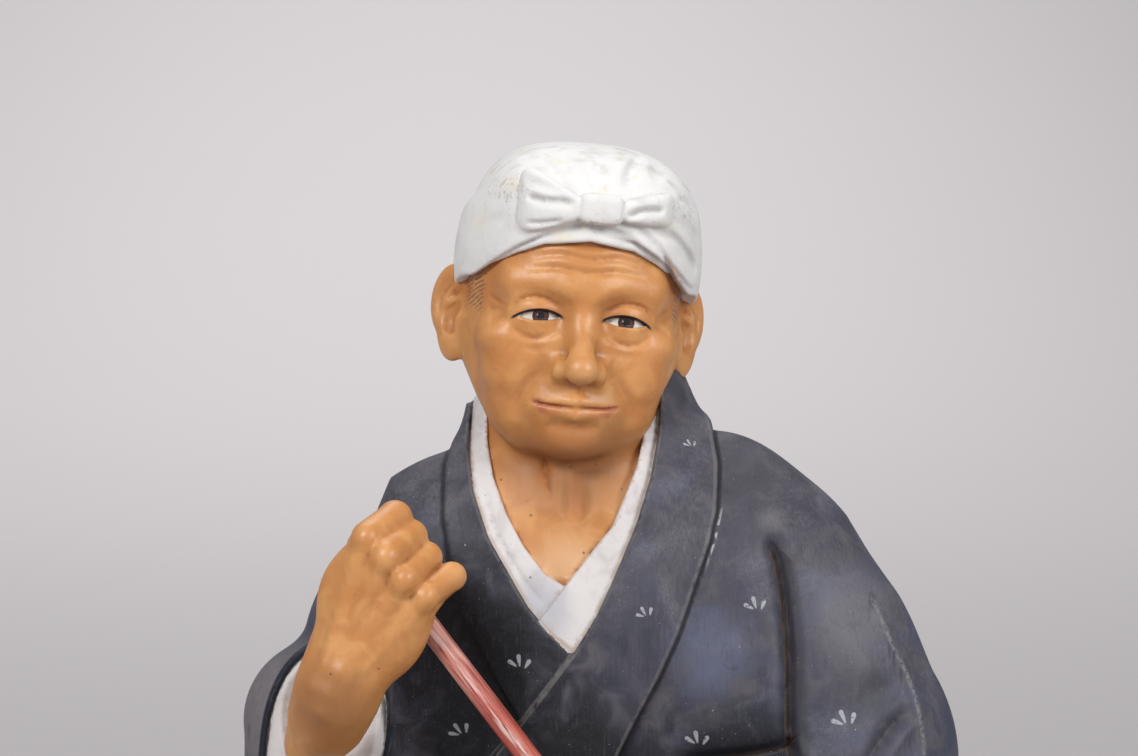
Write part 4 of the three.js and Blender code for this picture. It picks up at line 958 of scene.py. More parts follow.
def keep_face(mesh):
    """How far a place is from the lids, iris, glint and lips, and where it is in the head's frame."""
    place, _ = vertex_rows(mesh)
    x, y, z = seen_from(place, *HEAD)
    in_front = y < -8
    s = np.abs(x)
    t = (s - EYE_OUT) / EYE_HALF_WIDTH
    arch = 1 - np.clip(t, -2, 2) ** 2
    middle = EYE_UP - LID_DROP - LID_SLANT * t
    side = np.sign(x) * EYE_OUT
    iris = np.hypot(x - side - 0.25, z - EYE_UP + 0.15)
    glint = np.hypot(x - side + 0.55, z - EYE_UP - 0.15)
    keep(mesh, "eye", np.stack([z - (middle + UPPER_LID * arch), iris, np.where(in_front, t, FAR)]))
    keep(mesh, "eye_low", np.stack([z - (middle - LOWER_LID * arch), glint, glint]))
    m = np.stack([s, y, z])
    red = np.minimum(limb(m, *UPPER_LIP, 0.7, 0.9), limb(m, *LOWER_LIP, 0.9, 1))
    keep(mesh, "lip", np.where(in_front, red, FAR))
    keep(mesh, "head_place", np.stack([x, y, z]))


# Grass motifs on the robe: their places in the front view, their lean in degrees and their size.
FRONT_MOTIFS = [(15.4, 169.2, 15, 0.75), (37.5, 170.3, 0, 0.95), (-9.8, 158.8, -8, 0.95),
                (-21.6, 144.4, 20, 0.95), (55.6, 147.2, 6, 1.1), (25.8, 143.2, -5, 1), (24.9, 202.4, 0, 0.6)]
MOTIF_REACH = 8
MOTIF_SPACING = 27
MOTIF_SEED = 7
MOTIFS_FROM = SEAT + 8
MOTIFS_TO = 200
# The height at which the photograph ends.
PHOTO_FOOT = 138


def motif_centres(place, normal):
    """Middles, normals, leans and sizes: those of the front view, then others a spacing apart or more."""
    chosen = []
    for x, z, lean, size in FRONT_MOTIFS:
        away = np.hypot(place[0] - x, place[2] - z) + np.where(normal[1] < -0.2, 0, 1e3)
        near = np.flatnonzero(away < 1.5)
        if len(near):
            i = near[np.argmin(place[1, near])]
            chosen.append((np.array([x, place[1, i], z]), normal[:, i], lean, size))
    rng = np.random.default_rng(MOTIF_SEED)
    open_to_all = (normal[2] > -0.5) & (place[2] > MOTIFS_FROM) & (place[2] < MOTIFS_TO)
    seen_in_front = (normal[1] < 0) & (place[2] > PHOTO_FOOT)
    for i in rng.permutation(np.flatnonzero(open_to_all & ~seen_in_front)):
        apart = [np.linalg.norm(place[:, i] - middle) for middle, _, _, _ in chosen]
        if min(apart) > MOTIF_SPACING:
            chosen.append((place[:, i], normal[:, i], rng.uniform(-25, 25), rng.uniform(0.8, 1.15)))
    return chosen


def keep_motifs(mesh):
    """Across and up in the nearest motif, and 1 near it and 0 elsewhere."""
    place, normal = vertex_rows(mesh)
    found = np.zeros(place.shape, np.float32)
    for middle, out, lean, size in motif_centres(place, normal):
        across = unit(np.cross((0, 0, 1), out))
        up = np.cross(out, across)
        turn = math.radians(lean)
        step = place - middle[:, None]
        near = np.flatnonzero((length_of(step) < MOTIF_REACH) & (normal.T @ out > 0.2))
        u = across @ step[:, near] / size
        v = up @ step[:, near] / size
        found[0, near] = u * math.cos(turn) + v * math.sin(turn)
        found[1, near] = v * math.cos(turn) - u * math.sin(turn)
        found[2, near] = 1
    keep(mesh, "motif", found)


# Paints.

class Value:
    """A number or a colour that the nodes of a paint work out."""

    def __init__(self, paint, socket):
        self.paint = paint
        self.socket = socket

    def __add__(self, other):
        return self.paint.math("ADD", self, other)

    __radd__ = __add__

    def __sub__(self, other):
        return self.paint.math("SUBTRACT", self, other)

    def __rsub__(self, other):
        return self.paint.math("SUBTRACT", other, self)

    def __mul__(self, other):
        return self.paint.math("MULTIPLY", self, other)

    def __or__(self, other):
        """The greater of two values."""
        return self.paint.math("MAXIMUM", self, other)

    def __abs__(self):
        return self.paint.math("ABSOLUTE", self)

    def ramp(self, low, high):
        """0 at low and 1 at high, smooth between."""
        limits = {"From Min": min(low, high), "From Max": max(low, high),
                  "To Min": float(low > high), "To Max": float(low < high)}
        inputs = {"Value": self, **limits}
        return self.paint.made("MapRange", "Result", inputs, interpolation_type="SMOOTHSTEP")

    def line(self, width):
        """1 where a distance is none, fading to 0 at a width from there."""
        return abs(self).ramp(width, width * 0.3)


class Paint:
    """A material built from nodes, with places in millimetres."""

    def __init__(self, name):
        self.material = bpy.data.materials.new(name)
        self.material.use_nodes = True
        self.tree = self.material.node_tree
        self.tree.nodes.clear()
        self.shader = self.tree.nodes.new("ShaderNodeBsdfPrincipled")
        output = self.tree.nodes.new("ShaderNodeOutputMaterial")
        self.tree.links.new(self.shader.outputs["BSDF"], output.inputs["Surface"])
        self.place = self.vector("MULTIPLY", self.made("TexCoord", "Object", {}), (1 / METRES,) * 3)

    def put(self, value, socket):
        if isinstance(value, Value):
            self.tree.links.new(value.socket, socket)
        else:
            socket.default_value = (*value, 1.0) if socket.type == "RGBA" else value

    def made(self, kind, output, inputs, **settings):
        """What a new node gives out."""
        node = self.tree.nodes.new("ShaderNode" + kind)
        for key, value in settings.items():
            setattr(node, key, value)
        for key, value in inputs.items():
            self.put(value, node.inputs[key])
        return Value(self, node.outputs[output])

    def math(self, operation, a, b=0.0):
        return self.made("Math", 0, {0: a, 1: b}, operation=operation)

    def vector(self, operation, a, b=(0, 0, 0)):
        output = "Value" if operation == "LENGTH" else "Vector"
        return self.made("VectorMath", output, {0: a, 1: b}, operation=operation)

    def number(self, name):
        """A number kept on the vertices."""
        return self.made("Attribute", "Fac", {}, attribute_name=name)

    def rows(self, name):
        """The three numbers kept together on the vertices."""
        return self.made("Attribute", "Vector", {}, attribute_name=name)

    def parts(self, name):
        split = self.made("SeparateXYZ", 0, {0: self.rows(name)}).socket.node
        return [Value(self, socket) for socket in split.outputs]

    def noise(self, scale, detail, place=None, stretch=None, twist=0.0):
        """Uneven values from 0 to 1, with scale grains to the millimetre."""
        spot = place or self.place
        if stretch:
            spot = self.vector("MULTIPLY", spot, stretch)
        inputs = {"Vector": spot, "Scale": scale, "Detail": detail, "Distortion": twist}
        return self.made("TexNoise", "Fac", inputs)

    def away(self, place, centre, reach):
        """0 at the middle of an ellipsoid and 1 at its surface."""
        return self.vector("LENGTH", self.vector("DIVIDE", self.vector("SUBTRACT", place, centre), reach))

    def patch(self, centre, reach, ragged=0.0):
        """1 at a place on the object, fading to 0 at the surface of an ellipsoid about it."""
        return (self.away(self.place, centre, reach) + ragged).ramp(1.0, 0.25)

    def specks(self, spacing, size, share):
        """Small round dots, spacing millimetres apart, of which a share is kept."""
        inputs = {"Vector": self.place, "Scale": 1 / spacing, "Randomness": 1.0}
        distance = self.made("TexVoronoi", "Distance", inputs, feature="F1")
        colour = Value(self, distance.socket.node.outputs["Color"])
        chosen = self.math("LESS_THAN", self.made("SeparateColor", 0, {0: colour}), share)
        return distance.ramp(size / spacing * 1.3, size / spacing * 0.7) * chosen

    def layers(self, ground, *coats):
        """Colours laid one on the other, each given as shares, which are multiplied, and the colour."""
        for share, *others, colour in coats:
            for other in others:
                share = share * other
            inputs = {"Factor": share, "A": ground, "B": colour}
            ground = self.made("Mix", "Result", inputs, data_type="RGBA")
        return ground

    def finish(self, colour, roughness, height, depth, specular):
        """The material, its surface roughened by a height from 0 to 1 times a depth in millimetres."""
        bump = {"Strength": 1.0, "Distance": depth * METRES, "Height": height}
        sockets = {"Base Color": colour, "Roughness": roughness, "Specular IOR Level": specular,
                   "Normal": self.made("Bump", "Normal", bump)}
        for key, value in sockets.items():
            self.put(value, self.shader.inputs[key])
        return self.material


# Shading painted on the skin: places in the head's frame, with their reach and strength. The one at the chin
# is painted shade.
BLUSHES = [((14.5, -13, -6), (8, 10, 9), 0.6), ((0, -25, -8), (4, 6, 4.5), 0.55),
           ((0, -19, 5.5), (5.5, 8, 4.5), 0.45), ((17, -9, 6), (6, 9, 7), 0.4),
           ((11, -15, -18), (7, 9, 6), 0.3), ((0, -17, -26), (16, 12, 9), 0.8),
           ((15, -11, -15), (8, 10, 9), 0.35)]
# Places on the whole doll and their reach: a chest made paler as painted light, painted shade under the chin
# and at the right wrist, a speckled neck and a matt neck.
LIT_CHEST = ((0, 0, 176), (14, 14, 12))
SHADED_SKIN = [((1, 4, 199), (20, 18, 16)), ((-46, -30, 155), (13, 16, 12))]
SPECKLED_NECK = ((1, 4, 188), (20, 16, 20))
MATT_NECK = ((1, 4, 190), (22, 20, 24))


def eye_coats(paint):
    """The painted eyes, as coats over the skin."""
    upper, iris, across = paint.parts("eye")
    above, glint, _ = paint.parts("eye_low")
    opening = upper.ramp(0.06, -0.06) * upper.ramp(-2.3, -2.1) * abs(across).ramp(0.98, 0.9)
    opening = opening * above.ramp(-0.05, 0.05)
    disc = iris.ramp(1.75, 1.6)
    lash = abs(upper - 0.05).ramp(0.42, 0.26) * abs(across - 0.08).ramp(1.22, 1.02)
    return [(opening, 0.92, (0.6, 0.55, 0.5)),
            (opening, disc, (0.06, 0.02, 0.01)),
            (opening, disc, iris.ramp(1.2, 1.55), (0.015, 0.006, 0.004)),
            (opening, iris.ramp(0.85, 0.7), (0.006, 0.004, 0.004)),
            # A painted glint: a pale dot in each eye.
            (opening, glint.ramp(0.34, 0.2), (0.55, 0.52, 0.5)),
            (lash, (0.012, 0.008, 0.008))]


def hair_coat(paint):
    """Thin grey strokes on the temples under the scarf's hem."""
    x, y, z = paint.parts("head_place")
    region = abs(x).ramp(18.6, 19.6) * z.ramp(-1, 2) * y.ramp(-11, -9) * y.ramp(0, -2)
    slant = z + y * 0.45 + paint.noise(0.25, 1) * 1.6
    line = abs(paint.math("FRACT", slant) - 0.5)
    stroke = line.ramp(0.24, 0.12) * paint.noise(0.9, 2).ramp(0.36, 0.5)
    return region, stroke, 0.85, (0.1, 0.07, 0.065)


def blush_coats(paint):
    """Orange paint shaded over the cheeks, the brow and the tip of the nose, painted shade on the chin,
    under it and at the wrist, and a chest made paler as painted light.
    """
    x, y, z = paint.parts("head_place")
    folded = paint.made("CombineXYZ", 0, {0: abs(x), 1: y, 2: z})
    coats = [(paint.away(folded, centre, reach).ramp(1.0, 0.2), share, (0.47, 0.15, 0.03))
             for centre, reach, share in BLUSHES]
    # Painted shade under the chin and at the wrist.
    coats += [(paint.patch(*shaded), 0.95, (0.32, 0.136, 0.045)) for shaded in SHADED_SKIN]
    # A chest made paler as painted light.
    return [*coats, (paint.patch(*LIT_CHEST), 0.8, (0.7, 0.43, 0.23))]


def skin_paint():
    paint = Paint("skin")
    swell = paint.number("swell")
    mottle = paint.noise(0.16, 4, twist=0.6)
    fine = paint.noise(1.4, 3)
    # The creases, where the skin gets painted shade.
    crease = (paint.number("bend") + fine * 0.05).ramp(-0.04, -0.34)
    whole = 1 - paint.noise(0.55, 3).ramp(0.6, 0.66)
    colour = paint.layers(
        (0.53, 0.225, 0.07),
        (mottle.ramp(0.4, 0.66), (0.61, 0.29, 0.1)),
        *blush_coats(paint),
        # Painted shade in the broad hollows and the creases, and paler rounded forms, partly wear and partly
        # painted highlight.
        (swell.ramp(-0.01, -0.1), 0.7, (0.37, 0.128, 0.03)),
        (swell.ramp(0.05, 0.2), 0.65, (0.7, 0.385, 0.165)),
        (crease, 0.7, (0.29, 0.095, 0.026)),
        ((paint.number("lip") + fine * 0.3).ramp(0.65, 0.35), whole, 0.7, (0.44, 0.12, 0.065)),
        hair_coat(paint),
        (paint.specks(1.7, 0.13, 0.1), 0.7, (0.16, 0.07, 0.03)),
        (paint.specks(4.6, 0.24, 0.12), 0.75, (0.1, 0.045, 0.025)),
        (paint.specks(2.6, 0.3, 0.22), paint.patch(*SPECKLED_NECK), 0.8, (0.12, 0.06, 0.04)),
        *eye_coats(paint))
    roughness = 0.34 + mottle * 0.14 + crease * 0.2 + paint.patch(*MATT_NECK) * 0.2
    height = paint.noise(0.9, 2) * 0.7 + paint.noise(3, 2) * 0.25
    return paint.finish(colour, roughness, height, depth=0.07, specular=0.5)


# Where dirt has gathered on the scarf: places and their reach.
DIRTY_SCARF = [((-15, -2, 254), (11, 16, 6)), ((24, 0, 250), (5, 16, 5)), ((6, -8, 247.5), (6, 6, 3))]


def scarf_paint():
    paint = Paint("scarf")
    _, _, z = paint.parts("head_place")
    grime = paint.noise(0.22, 5, twist=0.4)
    fine = paint.noise(2.6, 4)
    stain = paint.noise(0.1, 3).ramp(0.54, 0.68) * paint.number("swell").ramp(0.05, 0)
    left, right, middle = (paint.patch(*dirty) for dirty in DIRTY_SCARF)
    dirty = left | right | middle
    colour = paint.layers(
        (0.715, 0.702, 0.688),
        (grime.ramp(0.45, 0.7), 0.45, (0.58, 0.56, 0.53)),
        (stain, 0.5, (0.72, 0.64, 0.44)),
        (grime.ramp(0.5, 0.72), z.ramp(24, 29), 0.5, (0.52, 0.48, 0.42)),
        # Painted shade in the creases.
        ((paint.number("bend") + fine * 0.06).ramp(-0.02, -0.3), 0.6, (0.44, 0.43, 0.42)),
        (dirty, paint.noise(1.1, 4).ramp(0.52, 0.66), 0.6, (0.36, 0.31, 0.25)),
        (paint.specks(1.1, 0.14, 0.08), 0.6, (0.3, 0.24, 0.18)),
        (paint.specks(1.5, 0.2, 0.35), dirty, 0.8, (0.12, 0.09, 0.07)),
        (paint.specks(2.4, 0.24, 0.14), grime.ramp(0.38, 0.55), 0.8, (0.1, 0.08, 0.07)))
    height = fine * 0.5 + paint.noise(0.7, 3) * 0.5
    return paint.finish(colour, 0.62 + grime * 0.16, height, depth=0.11, specular=0.4)


# Painted shade, a bluish grey, by the point of the inner collar where one end lies over the other, and its
# reach.
POINT_SHADE = ((-6, -4, 170), (9, 9, 11))


def collar_paint():
    paint = Paint("collar")
    bend = paint.number("bend")
    inner, _, _ = paint.parts("edges")
    grime = paint.noise(0.25, 5, twist=0.5)
    fine = paint.noise(2.2, 4)
    colour = paint.layers(
        (0.63, 0.598, 0.59),
        (grime.ramp(0.45, 0.7), 0.5, (0.47, 0.43, 0.42)),
        (paint.patch(*POINT_SHADE), 0.75, (0.4, 0.4, 0.44)),
        # Painted shade in the creases.
        ((bend + fine * 0.08).ramp(-0.02, -0.3), 0.6, (0.3, 0.24, 0.22)),
        (bend.ramp(0.16, 0.42), paint.noise(0.7, 3).ramp(0.5, 0.62), 0.8, (0.36, 0.25, 0.18)),
        (abs(inner).ramp(1.1, 0.3), grime.ramp(0.35, 0.5), 0.6, (0.38, 0.29, 0.22)),
        (paint.specks(1.3, 0.13, 0.1), 0.7, (0.22, 0.13, 0.09)),
        (paint.specks(4, 0.24, 0.12), 0.8, (0.12, 0.07, 0.06)))
    height = fine * 0.6 + paint.noise(0.6, 2) * 0.4
    return paint.finish(colour, 0.6 + grime * 0.18, height, depth=0.08, specular=0.4)


# The leaf strokes of a motif: lean in degrees, root across, inner and outer end, in millimetres.
LEAVES = [(-63, -0.3, 0.4, 2.7), (-15, 0.0, 0.3, 2.9), (24, 1.0, 0.1, 2.2)]


def leaf(across, up, lean, root, start, end):
    """A stroke that grows wider towards its outer end."""
    sine = math.sin(math.radians(lean))
    cosine = math.cos(math.radians(lean))
    side = across - root
    along = side * sine + up * cosine
    half = (along.ramp(start - 0.6, end - 0.5) * 0.34 + 0.1) * along.ramp(end + 0.15, end - 0.35)
    stroke = (abs(side * cosine - up * sine) - half).ramp(0.08, -0.08)
    return stroke * (along.ramp(start - 0.2, start + 0.2) * along.ramp(end + 0.1, end - 0.05))


def motif_mask(paint):
    """Three leaf strokes that fan up from a point."""
    across, up, near = paint.parts("motif")
    first, second, third = (leaf(across, up, *row) for row in LEAVES)
    return (first | second | third) * paint.math("GREATER_THAN", near, 0.99)


# Broad tones and painted shade on the robe: their place, reach, strength and colour. The first, darkest, is
# painted shade in the hollow between the right arm and the collars, and the third is painted shade under the
# left arm. The blue one and the small pale scuff by the armpit are the robe's own colour; the others darken
# or lighten parts of the chest, sleeves and shoulders.
TONES_AND_SHADE = [((-19, -8, 155), (31, 60, 46), 0.98, (0.006, 0.006, 0.008)),
         ((4, -8, 140), (21, 30, 20), 0.97, (0.01, 0.01, 0.012)),
         ((35, -10, 142), (23, 30, 16), 0.94, (0.017, 0.018, 0.024)),
         ((12, -8, 160), (9, 30, 24), 0.45, (0.05, 0.054, 0.08)),
         ((28, -8, 162), (11, 30, 13), 0.55, (0.13, 0.148, 0.22)),
         ((57, 0, 169), (13, 30, 15), 0.5, (0.165, 0.16, 0.18)),
         ((60, 0, 152), (11, 30, 8), 0.45, (0.042, 0.042, 0.054)),
         ((34, 10, 198), (13, 30, 9), 0.5, (0.06, 0.056, 0.064)),
         ((66, 14, 182), (10, 40, 16), 0.4, (0.06, 0.06, 0.085)),
         ((80, 14, 146), (7.5, 40, 17), 0.75, (0.045, 0.05, 0.085)),
         ((41, -4, 188), (5, 14, 4), 0.3, (0.26, 0.25, 0.25)),
         ((-60, 0, 148), (13, 40, 22), 0.75, (0.19, 0.172, 0.178))]
# The lit stretch of the right collar band's seam: its place and reach.
GLEAM = ((30.5, -2, 184.5), (8, 16, 8))


def line_coats(paint, uneven, fine):
    """The lines of the folds, seams and edges on the robe, as coats, with painted shade beside and in the
    folds and a painted highlight by the right band's seam.
    """
    inner, seam, other = paint.parts("edges")
    armpit, under, elbow = paint.parts("fold_side")
    armpit_away, under_away, elbow_away = paint.parts("fold_away")
    at_armpit = armpit_away.ramp(3, 2)
    # Painted shade: soft beside the armpit's fold and under it, and dark lines in both folds.
    shade = (armpit - 1.4).line(3.0) * armpit_away.ramp(4.4, 3.4) | under_away.ramp(4, 0.8)
    fold = armpit.line(0.5) * at_armpit | under.line(0.5) * under_away.ramp(3, 2)
    rub = (inner - 0.4).line(0.5) | (seam + 0.7).line(0.55)
    edge = (paint.number("bend") + fine * 0.16).ramp(0.22, 0.5)
    return [(shade, 0.6, (0.022, 0.02, 0.024)),
            ((armpit + 0.65).line(0.4), at_armpit, uneven.ramp(0.36, 0.5), 0.45, (0.13, 0.08, 0.058)),
            (fold, 0.95, (0.022, 0.01, 0.007)),
            (edge, off_bands(seam, other, inner), 0.55, (0.25, 0.222, 0.205)),
            ((seam - 0.3).line(0.75) | (other - 0.3).line(0.7), 0.65, (0.014, 0.013, 0.016)),
            (rub, uneven.ramp(0.3, 0.5), 0.38, (0.2, 0.185, 0.178)),
            (elbow.line(0.6), elbow_away.ramp(3, 2), fine.ramp(0.4, 0.6), 0.5, (0.25, 0.235, 0.225)),
            ((seam - 0.9).line(0.35), uneven.ramp(0.4, 0.5), paint.patch(*GLEAM), 0.8, (0.45, 0.45, 0.48)),
            (paint.number("rim").ramp(1.7, 1.3), (0.013, 0.016, 0.026))]


def off_bands(seam, other, inner):
    """0 on the edges of the collar bands and 1 away from them."""
    return 1 - (seam.line(2.0) | (other.line(2.0) | inner.line(1.6)))


def robe_paint():
    paint = Paint("robe")
    inner, seam, other = paint.parts("edges")
    cloud = paint.noise(0.04, 4, twist=0.8)
    blotch = paint.noise(0.16, 5, twist=0.7)
    fine = paint.noise(1.6, 5)
    grain = paint.noise(5, 3)
    brush = paint.noise(1.2, 4, stretch=(1.6, 1.6, 0.16), twist=0.3)
    crease = (paint.number("bend") + fine * 0.05).ramp(-0.03, -0.24)
    worn = paint.number("swell").ramp(0, 0.05) * brush.ramp(0.42, 0.66)
    dusty = paint.noise(0.07, 4, twist=1).ramp(0.5, 0.66) * grain.ramp(0.35, 0.6)
    ragged = (blotch - 0.5) * 1.1
    tones_and_shade = [(paint.patch(centre, reach, ragged), *strength_and_colour)
             for centre, reach, *strength_and_colour in TONES_AND_SHADE]
    colour = paint.layers(
        (0.06, 0.058, 0.076),
        (cloud.ramp(0.45, 0.6), 0.6, (0.074, 0.08, 0.132)),
        (blotch.ramp(0.46, 0.68), 0.5, (0.11, 0.103, 0.112)),
        (worn, 0.45, (0.19, 0.178, 0.178)),
        (dusty, 0.25, (0.225, 0.222, 0.235)),
        # Broad tones, with painted shade among them.
        *tones_and_shade,
        (blotch.ramp(0.44, 0.3), 0.4, (0.034, 0.034, 0.046)),
        (brush.ramp(0.54, 0.76), 0.14, (0.15, 0.142, 0.142)),
        (brush.ramp(0.47, 0.26), 0.24, (0.028, 0.028, 0.036)),
        (grain.ramp(0.5, 0.75), 0.12, (0.165, 0.162, 0.18)),
        (grain.ramp(0.45, 0.25), 0.24, (0.03, 0.03, 0.04)),
        # Painted shade in the creases, kept off the collar bands' edges.
        (crease, off_bands(seam, other, inner), 0.7, (0.026, 0.023, 0.026)),
        *line_coats(paint, paint.noise(0.5, 4), fine),
        (motif_mask(paint), fine.ramp(0.3, 0.44), 0.75, (0.42, 0.43, 0.47)),
        (paint.specks(0.6, 0.07, 0.12), 0.5, (0.26, 0.26, 0.28)),
        (paint.specks(0.9, 0.1, 0.08), 0.6, (0.3, 0.3, 0.32)),
        (paint.specks(2.6, 0.15, 0.1), 0.75, (0.4, 0.39, 0.38)))
    height = fine * 0.5 + paint.noise(0.5, 3) * 0.5
    return paint.finish(colour, 0.46 + blotch * 0.14 + worn * 0.12, height, depth=0.1, specular=0.27)


def sash_paint():
    paint = Paint("sash")
    bend = paint.number("bend")
    weave = paint.noise(0.9, 3, stretch=(0.5, 0.5, 3))
    blotch = paint.noise(0.12, 4)
    colour = paint.layers(
        (0.07, 0.05, 0.042),
        (weave.ramp(0.4, 0.65), 0.5, (0.105, 0.08, 0.068)),
        (blotch.ramp(0.5, 0.75), 0.5, (0.045, 0.035, 0.034)),
        (bend.ramp(0.18, 0.45), 0.6, (0.23, 0.19, 0.16)),
        # Painted shade in the creases.
        (bend.ramp(-0.03, -0.25), 0.7, (0.02, 0.015, 0.013)))
    return paint.finish(colour, 0.56 + blotch * 0.15, weave, depth=0.12, specular=0.4)


# Where the right hand has rubbed the stick pale, a patch that also serves as a painted highlight below the
# hand: the place and its reach.
STICK_RUB_AND_HIGHLIGHT = ((-25, -21, 166), (17, 14, 22))


def stick_paint():
    paint = Paint("stick")
    along = paint.rows("grain")
    near_side, upper_side, _ = paint.parts("grain")
    grain = paint.noise(1.5, 4, along, (1, 1, 0.05))
    broad = paint.noise(0.5, 2, along, (1, 1, 0.06))
    # A painted highlight along the side of the stick that faces the front, broken up by noise below.
    painted_highlight = (upper_side + 0.5).line(1.1) * near_side.ramp(0.2, 0.8)
    colour = paint.layers(
        (0.43, 0.09, 0.062),
        (broad.ramp(0.4, 0.65), (0.3, 0.046, 0.03)),
        (grain.ramp(0.52, 0.72), 0.75, (0.17, 0.026, 0.018)),
        (grain.ramp(0.4, 0.3), 0.85, (0.64, 0.33, 0.27)),
        (painted_highlight, paint.noise(1.6, 4, along, (1, 1, 0.1)).ramp(0.42, 0.62), 0.75, (0.78, 0.6, 0.56)),
        (paint.noise(0.1, 3).ramp(0.55, 0.75), 0.3, (0.5, 0.15, 0.1)),
        (paint.patch(*STICK_RUB_AND_HIGHLIGHT), grain.ramp(0.62, 0.42), 0.7, (0.7, 0.4, 0.34)),
        (paint.specks(1.9, 0.12, 0.1), 0.6, (0.1, 0.03, 0.02)))
    return paint.finish(colour, 0.27 + broad * 0.15, grain, depth=0.16, specular=0.55)


def base_paint():
    paint = Paint("lacquer")
    grain = paint.noise(0.5, 4, stretch=(0.05, 1, 1), twist=0.3)
    dust = paint.noise(0.2, 5)
    colour = paint.layers(
        (0.02, 0.011, 0.008),
        (grain.ramp(0.45, 0.7), (0.034, 0.017, 0.011)),
        (dust.ramp(0.5, 0.8), 0.12, (0.16, 0.14, 0.13)),
        (paint.specks(2.4, 0.14, 0.1), 0.5, (0.2, 0.18, 0.17)))
    return paint.finish(colour, 0.24 + dust * 0.16, grain, depth=0.05, specular=0.5)


# The middle of the pool of light painted on the backdrop, its palest place, and how fast it darkens along
# each axis, by the millimetre.
GLOW = (-150, 2900, 0)
GLOW_FALL = (0.00076, 0.0004, 0.00088)


def backdrop_paint():
    """Pale grey with painted light: it darkens away from a place behind the head."""
    paint = Paint("backdrop")
    fine = paint.noise(0.8, 3)
    offset = paint.vector("SUBTRACT", paint.place, GLOW)
    away = paint.vector("LENGTH", paint.vector("MULTIPLY", offset, GLOW_FALL))
    colour = paint.layers(
        (0.7, 0.668, 0.676),
        (paint.noise(0.004, 2), 0.2, (0.68, 0.648, 0.656)),
        (away.ramp(0.1, 1.25), (0.4, 0.378, 0.385)))
    return paint.finish(colour, 0.85 + fine * 0.05, fine, depth=0.02, specular=0.2)


# Pieces.

def mesh_piece(name, points, faces, smooth, paint):
    """A painted mesh object from points in millimetres, smooth as a whole or face by face."""
    mesh = bpy.data.meshes.new(name)
    mesh.from_pydata([tuple(np.asarray(p, float) * METRES) for p in points], [], faces)
    mesh.polygons.foreach_set("use_smooth", np.full(len(faces), smooth))
    mesh.update()
    mesh.materials.append(paint)
    return in_scene(name, mesh)


def rings_of_faces(rings, sides):
    """Faces between rings of points, and a cap at each end."""
    faces = []
    for i in range(rings - 1):
        for j in range(sides):
            k = (j + 1) % sides
            faces.append((i * sides + j, i * sides + k, (i + 1) * sides + k, (i + 1) * sides + j))
    faces.append(tuple(range(sides - 1, -1, -1)))
    faces.append(tuple(range((rings - 1) * sides, rings * sides)))
    return faces


def make_figure():
    paints = {"skin": skin_paint(), "scarf": scarf_paint(), "collar": collar_paint(), "robe": robe_paint(),
              "sash": sash_paint()}
    pieces = []
    for name, form, low, high, cell, share, paint in FORMS:
        piece = skinned(name, form, low, high, cell)
        without_chips(piece)
        changed(piece, "DECIMATE", ratio=share, use_collapse_triangulate=True)
        piece.data.materials.append(paints[paint])
        pieces.append(piece)
    figure = united(pieces)
    figure.name = "doll_figure"
    mesh = figure.data
    mesh.polygons.foreach_set("use_smooth", np.ones(len(mesh.polygons), bool))
    keep_shape(mesh)
    keep_edges(mesh)
    keep_face(mesh)
    keep_motifs(mesh)
    return figure


STICK_SIDES = 40
STICK_RINGS = 150
STICK_ROUNDING = 1.2


def stick_radius(along, turn):
    """The radius at a place along the stick and a turn about it: a little uneven, and rounded at the top."""
    rounding = math.sqrt(max(1 - max(1 - along / STICK_ROUNDING, 0) ** 2, 0.04))
    around = 0.025 * (1 + math.sin(3 * turn + along * 0.02)) / 2
    return STICK_RADIUS * rounding * (1 - around - 0.02 * (1 + math.sin(along * 0.11)) / 2)


def make_stick():
    """A rod that is cut level at the foot."""
    side = unit(np.cross(STICK_RUN, (0, 0, 1)))
    other = np.cross(STICK_RUN, side)
    points = []
    grain = []
    for i in range(STICK_RINGS):
        along = STICK_LENGTH * i / (STICK_RINGS - 1)
        for j in range(STICK_SIDES):
            turn = 2 * math.pi * j / STICK_SIDES
            r = stick_radius(along, turn)
            p = STICK_TOP + STICK_RUN * along + (side * math.cos(turn) + other * math.sin(turn)) * r
            if p[2] < STICK_FOOT[2] or i == STICK_RINGS - 1:
                p = p + STICK_RUN * ((STICK_FOOT[2] - p[2]) / STICK_RUN[2])
            points.append(p)
            grain.append((r * math.cos(turn), r * math.sin(turn), along))
    faces = rings_of_faces(STICK_RINGS, STICK_SIDES)
    piece = mesh_piece("doll_stick", points, faces, True, stick_paint())
    keep(piece.data, "grain", np.array(grain).T)
    return piece


BASE_WIDTH = 200
BASE_DEPTH = 178
BASE_CORNER = 9
# The base's side from below to above, as (inset, height).
BASE_PROFILE = [(1.6, 0), (0.4, 0.5), (0, 1.8), (0, 11.4), (0.3, 12.9), (1, 14.1), (2.2, 14.8), (3.6, 15)]


def make_base():
    """A low slab with round corners and a rounded upper edge."""
    turns = np.radians(np.arange(0, 91, 10))
    points = []
    for inset, z in BASE_PROFILE:
        r = BASE_CORNER - inset
        for quarter in range(4):
            cx = (BASE_WIDTH / 2 - BASE_CORNER) * (1 if quarter in (0, 3) else -1)
            cy = (BASE_DEPTH / 2 - BASE_CORNER) * (1 if quarter in (0, 1) else -1)
            for t in turns + quarter * math.pi / 2:
                points.append((cx + r * math.cos(t), cy + r * math.sin(t), z))
    faces = rings_of_faces(len(BASE_PROFILE), len(turns) * 4)
    return mesh_piece("doll_base", points, faces, [len(face) == 4 for face in faces], base_paint())


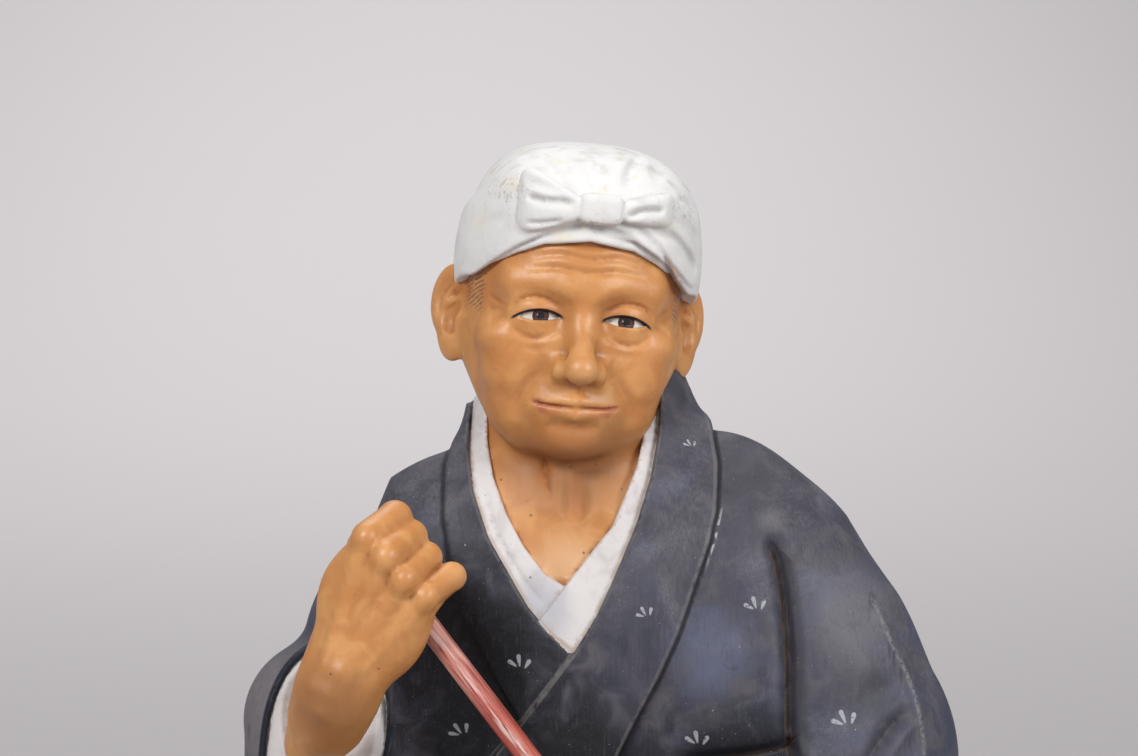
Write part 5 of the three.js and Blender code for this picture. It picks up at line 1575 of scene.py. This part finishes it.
# The backdrop in metres: how far its floor comes forward, how far back its wall is, how high it goes, how
# wide it bends up from the floor and in how many steps, and half its width.
FLOOR_NEAR = 9
WALL_FAR = 3.6
WALL_TOP = 4.5
SWEEP = 1.6
SWEEP_STEPS = 12
BACKDROP_HALF = 6


def make_backdrop():
    """A pale floor that sweeps up into a wall behind the doll."""
    profile = [(-FLOOR_NEAR, 0), (WALL_FAR - SWEEP, 0)]
    for step in range(1, SWEEP_STEPS + 1):
        t = math.pi / 2 * step / SWEEP_STEPS
        profile.append((WALL_FAR - SWEEP + SWEEP * math.sin(t), SWEEP - SWEEP * math.cos(t)))
    profile.append((WALL_FAR, WALL_TOP))
    points = [np.array((x, y, z)) / METRES for y, z in profile for x in (-BACKDROP_HALF, BACKDROP_HALF)]
    faces = [(2 * i, 2 * i + 1, 2 * i + 3, 2 * i + 2) for i in range(len(profile) - 1)]
    mesh_piece("backdrop", points, faces, True, backdrop_paint())


# Camera and lights, in metres.

LENS = 110.7
SENSOR_WIDTH = 36
NEAREST_SEEN = 0.01
CAMERA_DISTANCE = 0.7
CAMERA_TARGET = Vector((0, 0, 0.2164))
CAMERA_RISE = math.radians(4)

# Each light's name, place, width, power in watts and what it points at.
LIT_PLACE = (0, 0, 0.18)
LIGHTS = [("key", (-0.6, -0.95, 0.95), 0.34, 11.4, LIT_PLACE),
          ("fill", (0.9, -0.8, 0.7), 0.5, 9.5, LIT_PLACE),
          ("top", (0, 0.1, 1.3), 0.6, 0.8, LIT_PLACE),
          ("wall", (-0.1, 1.7, 2.4), 1.8, 41, (-0.1, 2.9, 0))]
ROOM_COLOUR = (0.95, 0.97, 1, 1)
ROOM_STRENGTH = 0.38


def aimed(name, data, place, target):
    """A camera or a light that looks from a place at another."""
    holder = in_scene(name, data)
    holder.location = place
    holder.rotation_euler = (Vector(target) - Vector(place)).to_track_quat("-Z", "Y").to_euler()
    return holder


def make_camera():
    data = bpy.data.cameras.new("camera")
    data.lens = LENS
    data.sensor_width = SENSOR_WIDTH
    data.clip_start = NEAREST_SEEN
    back = Vector((0, -math.cos(CAMERA_RISE), math.sin(CAMERA_RISE)))
    place = CAMERA_TARGET + back * CAMERA_DISTANCE
    bpy.context.scene.camera = aimed("camera", data, place, CAMERA_TARGET)


def make_lights():
    for name, place, width, power, target in LIGHTS:
        data = bpy.data.lights.new(name, "AREA")
        data.size = width
        data.energy = power
        aimed(name, data, place, target)
    world = bpy.data.worlds.new("room")
    world.use_nodes = True
    room = world.node_tree.nodes["Background"].inputs
    room["Color"].default_value = ROOM_COLOUR
    room["Strength"].default_value = ROOM_STRENGTH
    bpy.context.scene.world = world
    bpy.context.scene.view_settings.view_transform = "Standard"


def build():
    make_camera()
    make_lights()
    make_backdrop()
    for piece, node, slot in ((make_figure(), "figure", "painted_clay"),
                              (make_stick(), "stick", "red_stick"),
                              (make_base(), "base", "dark_base")):
        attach(piece, "root")
        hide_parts(node)


build()
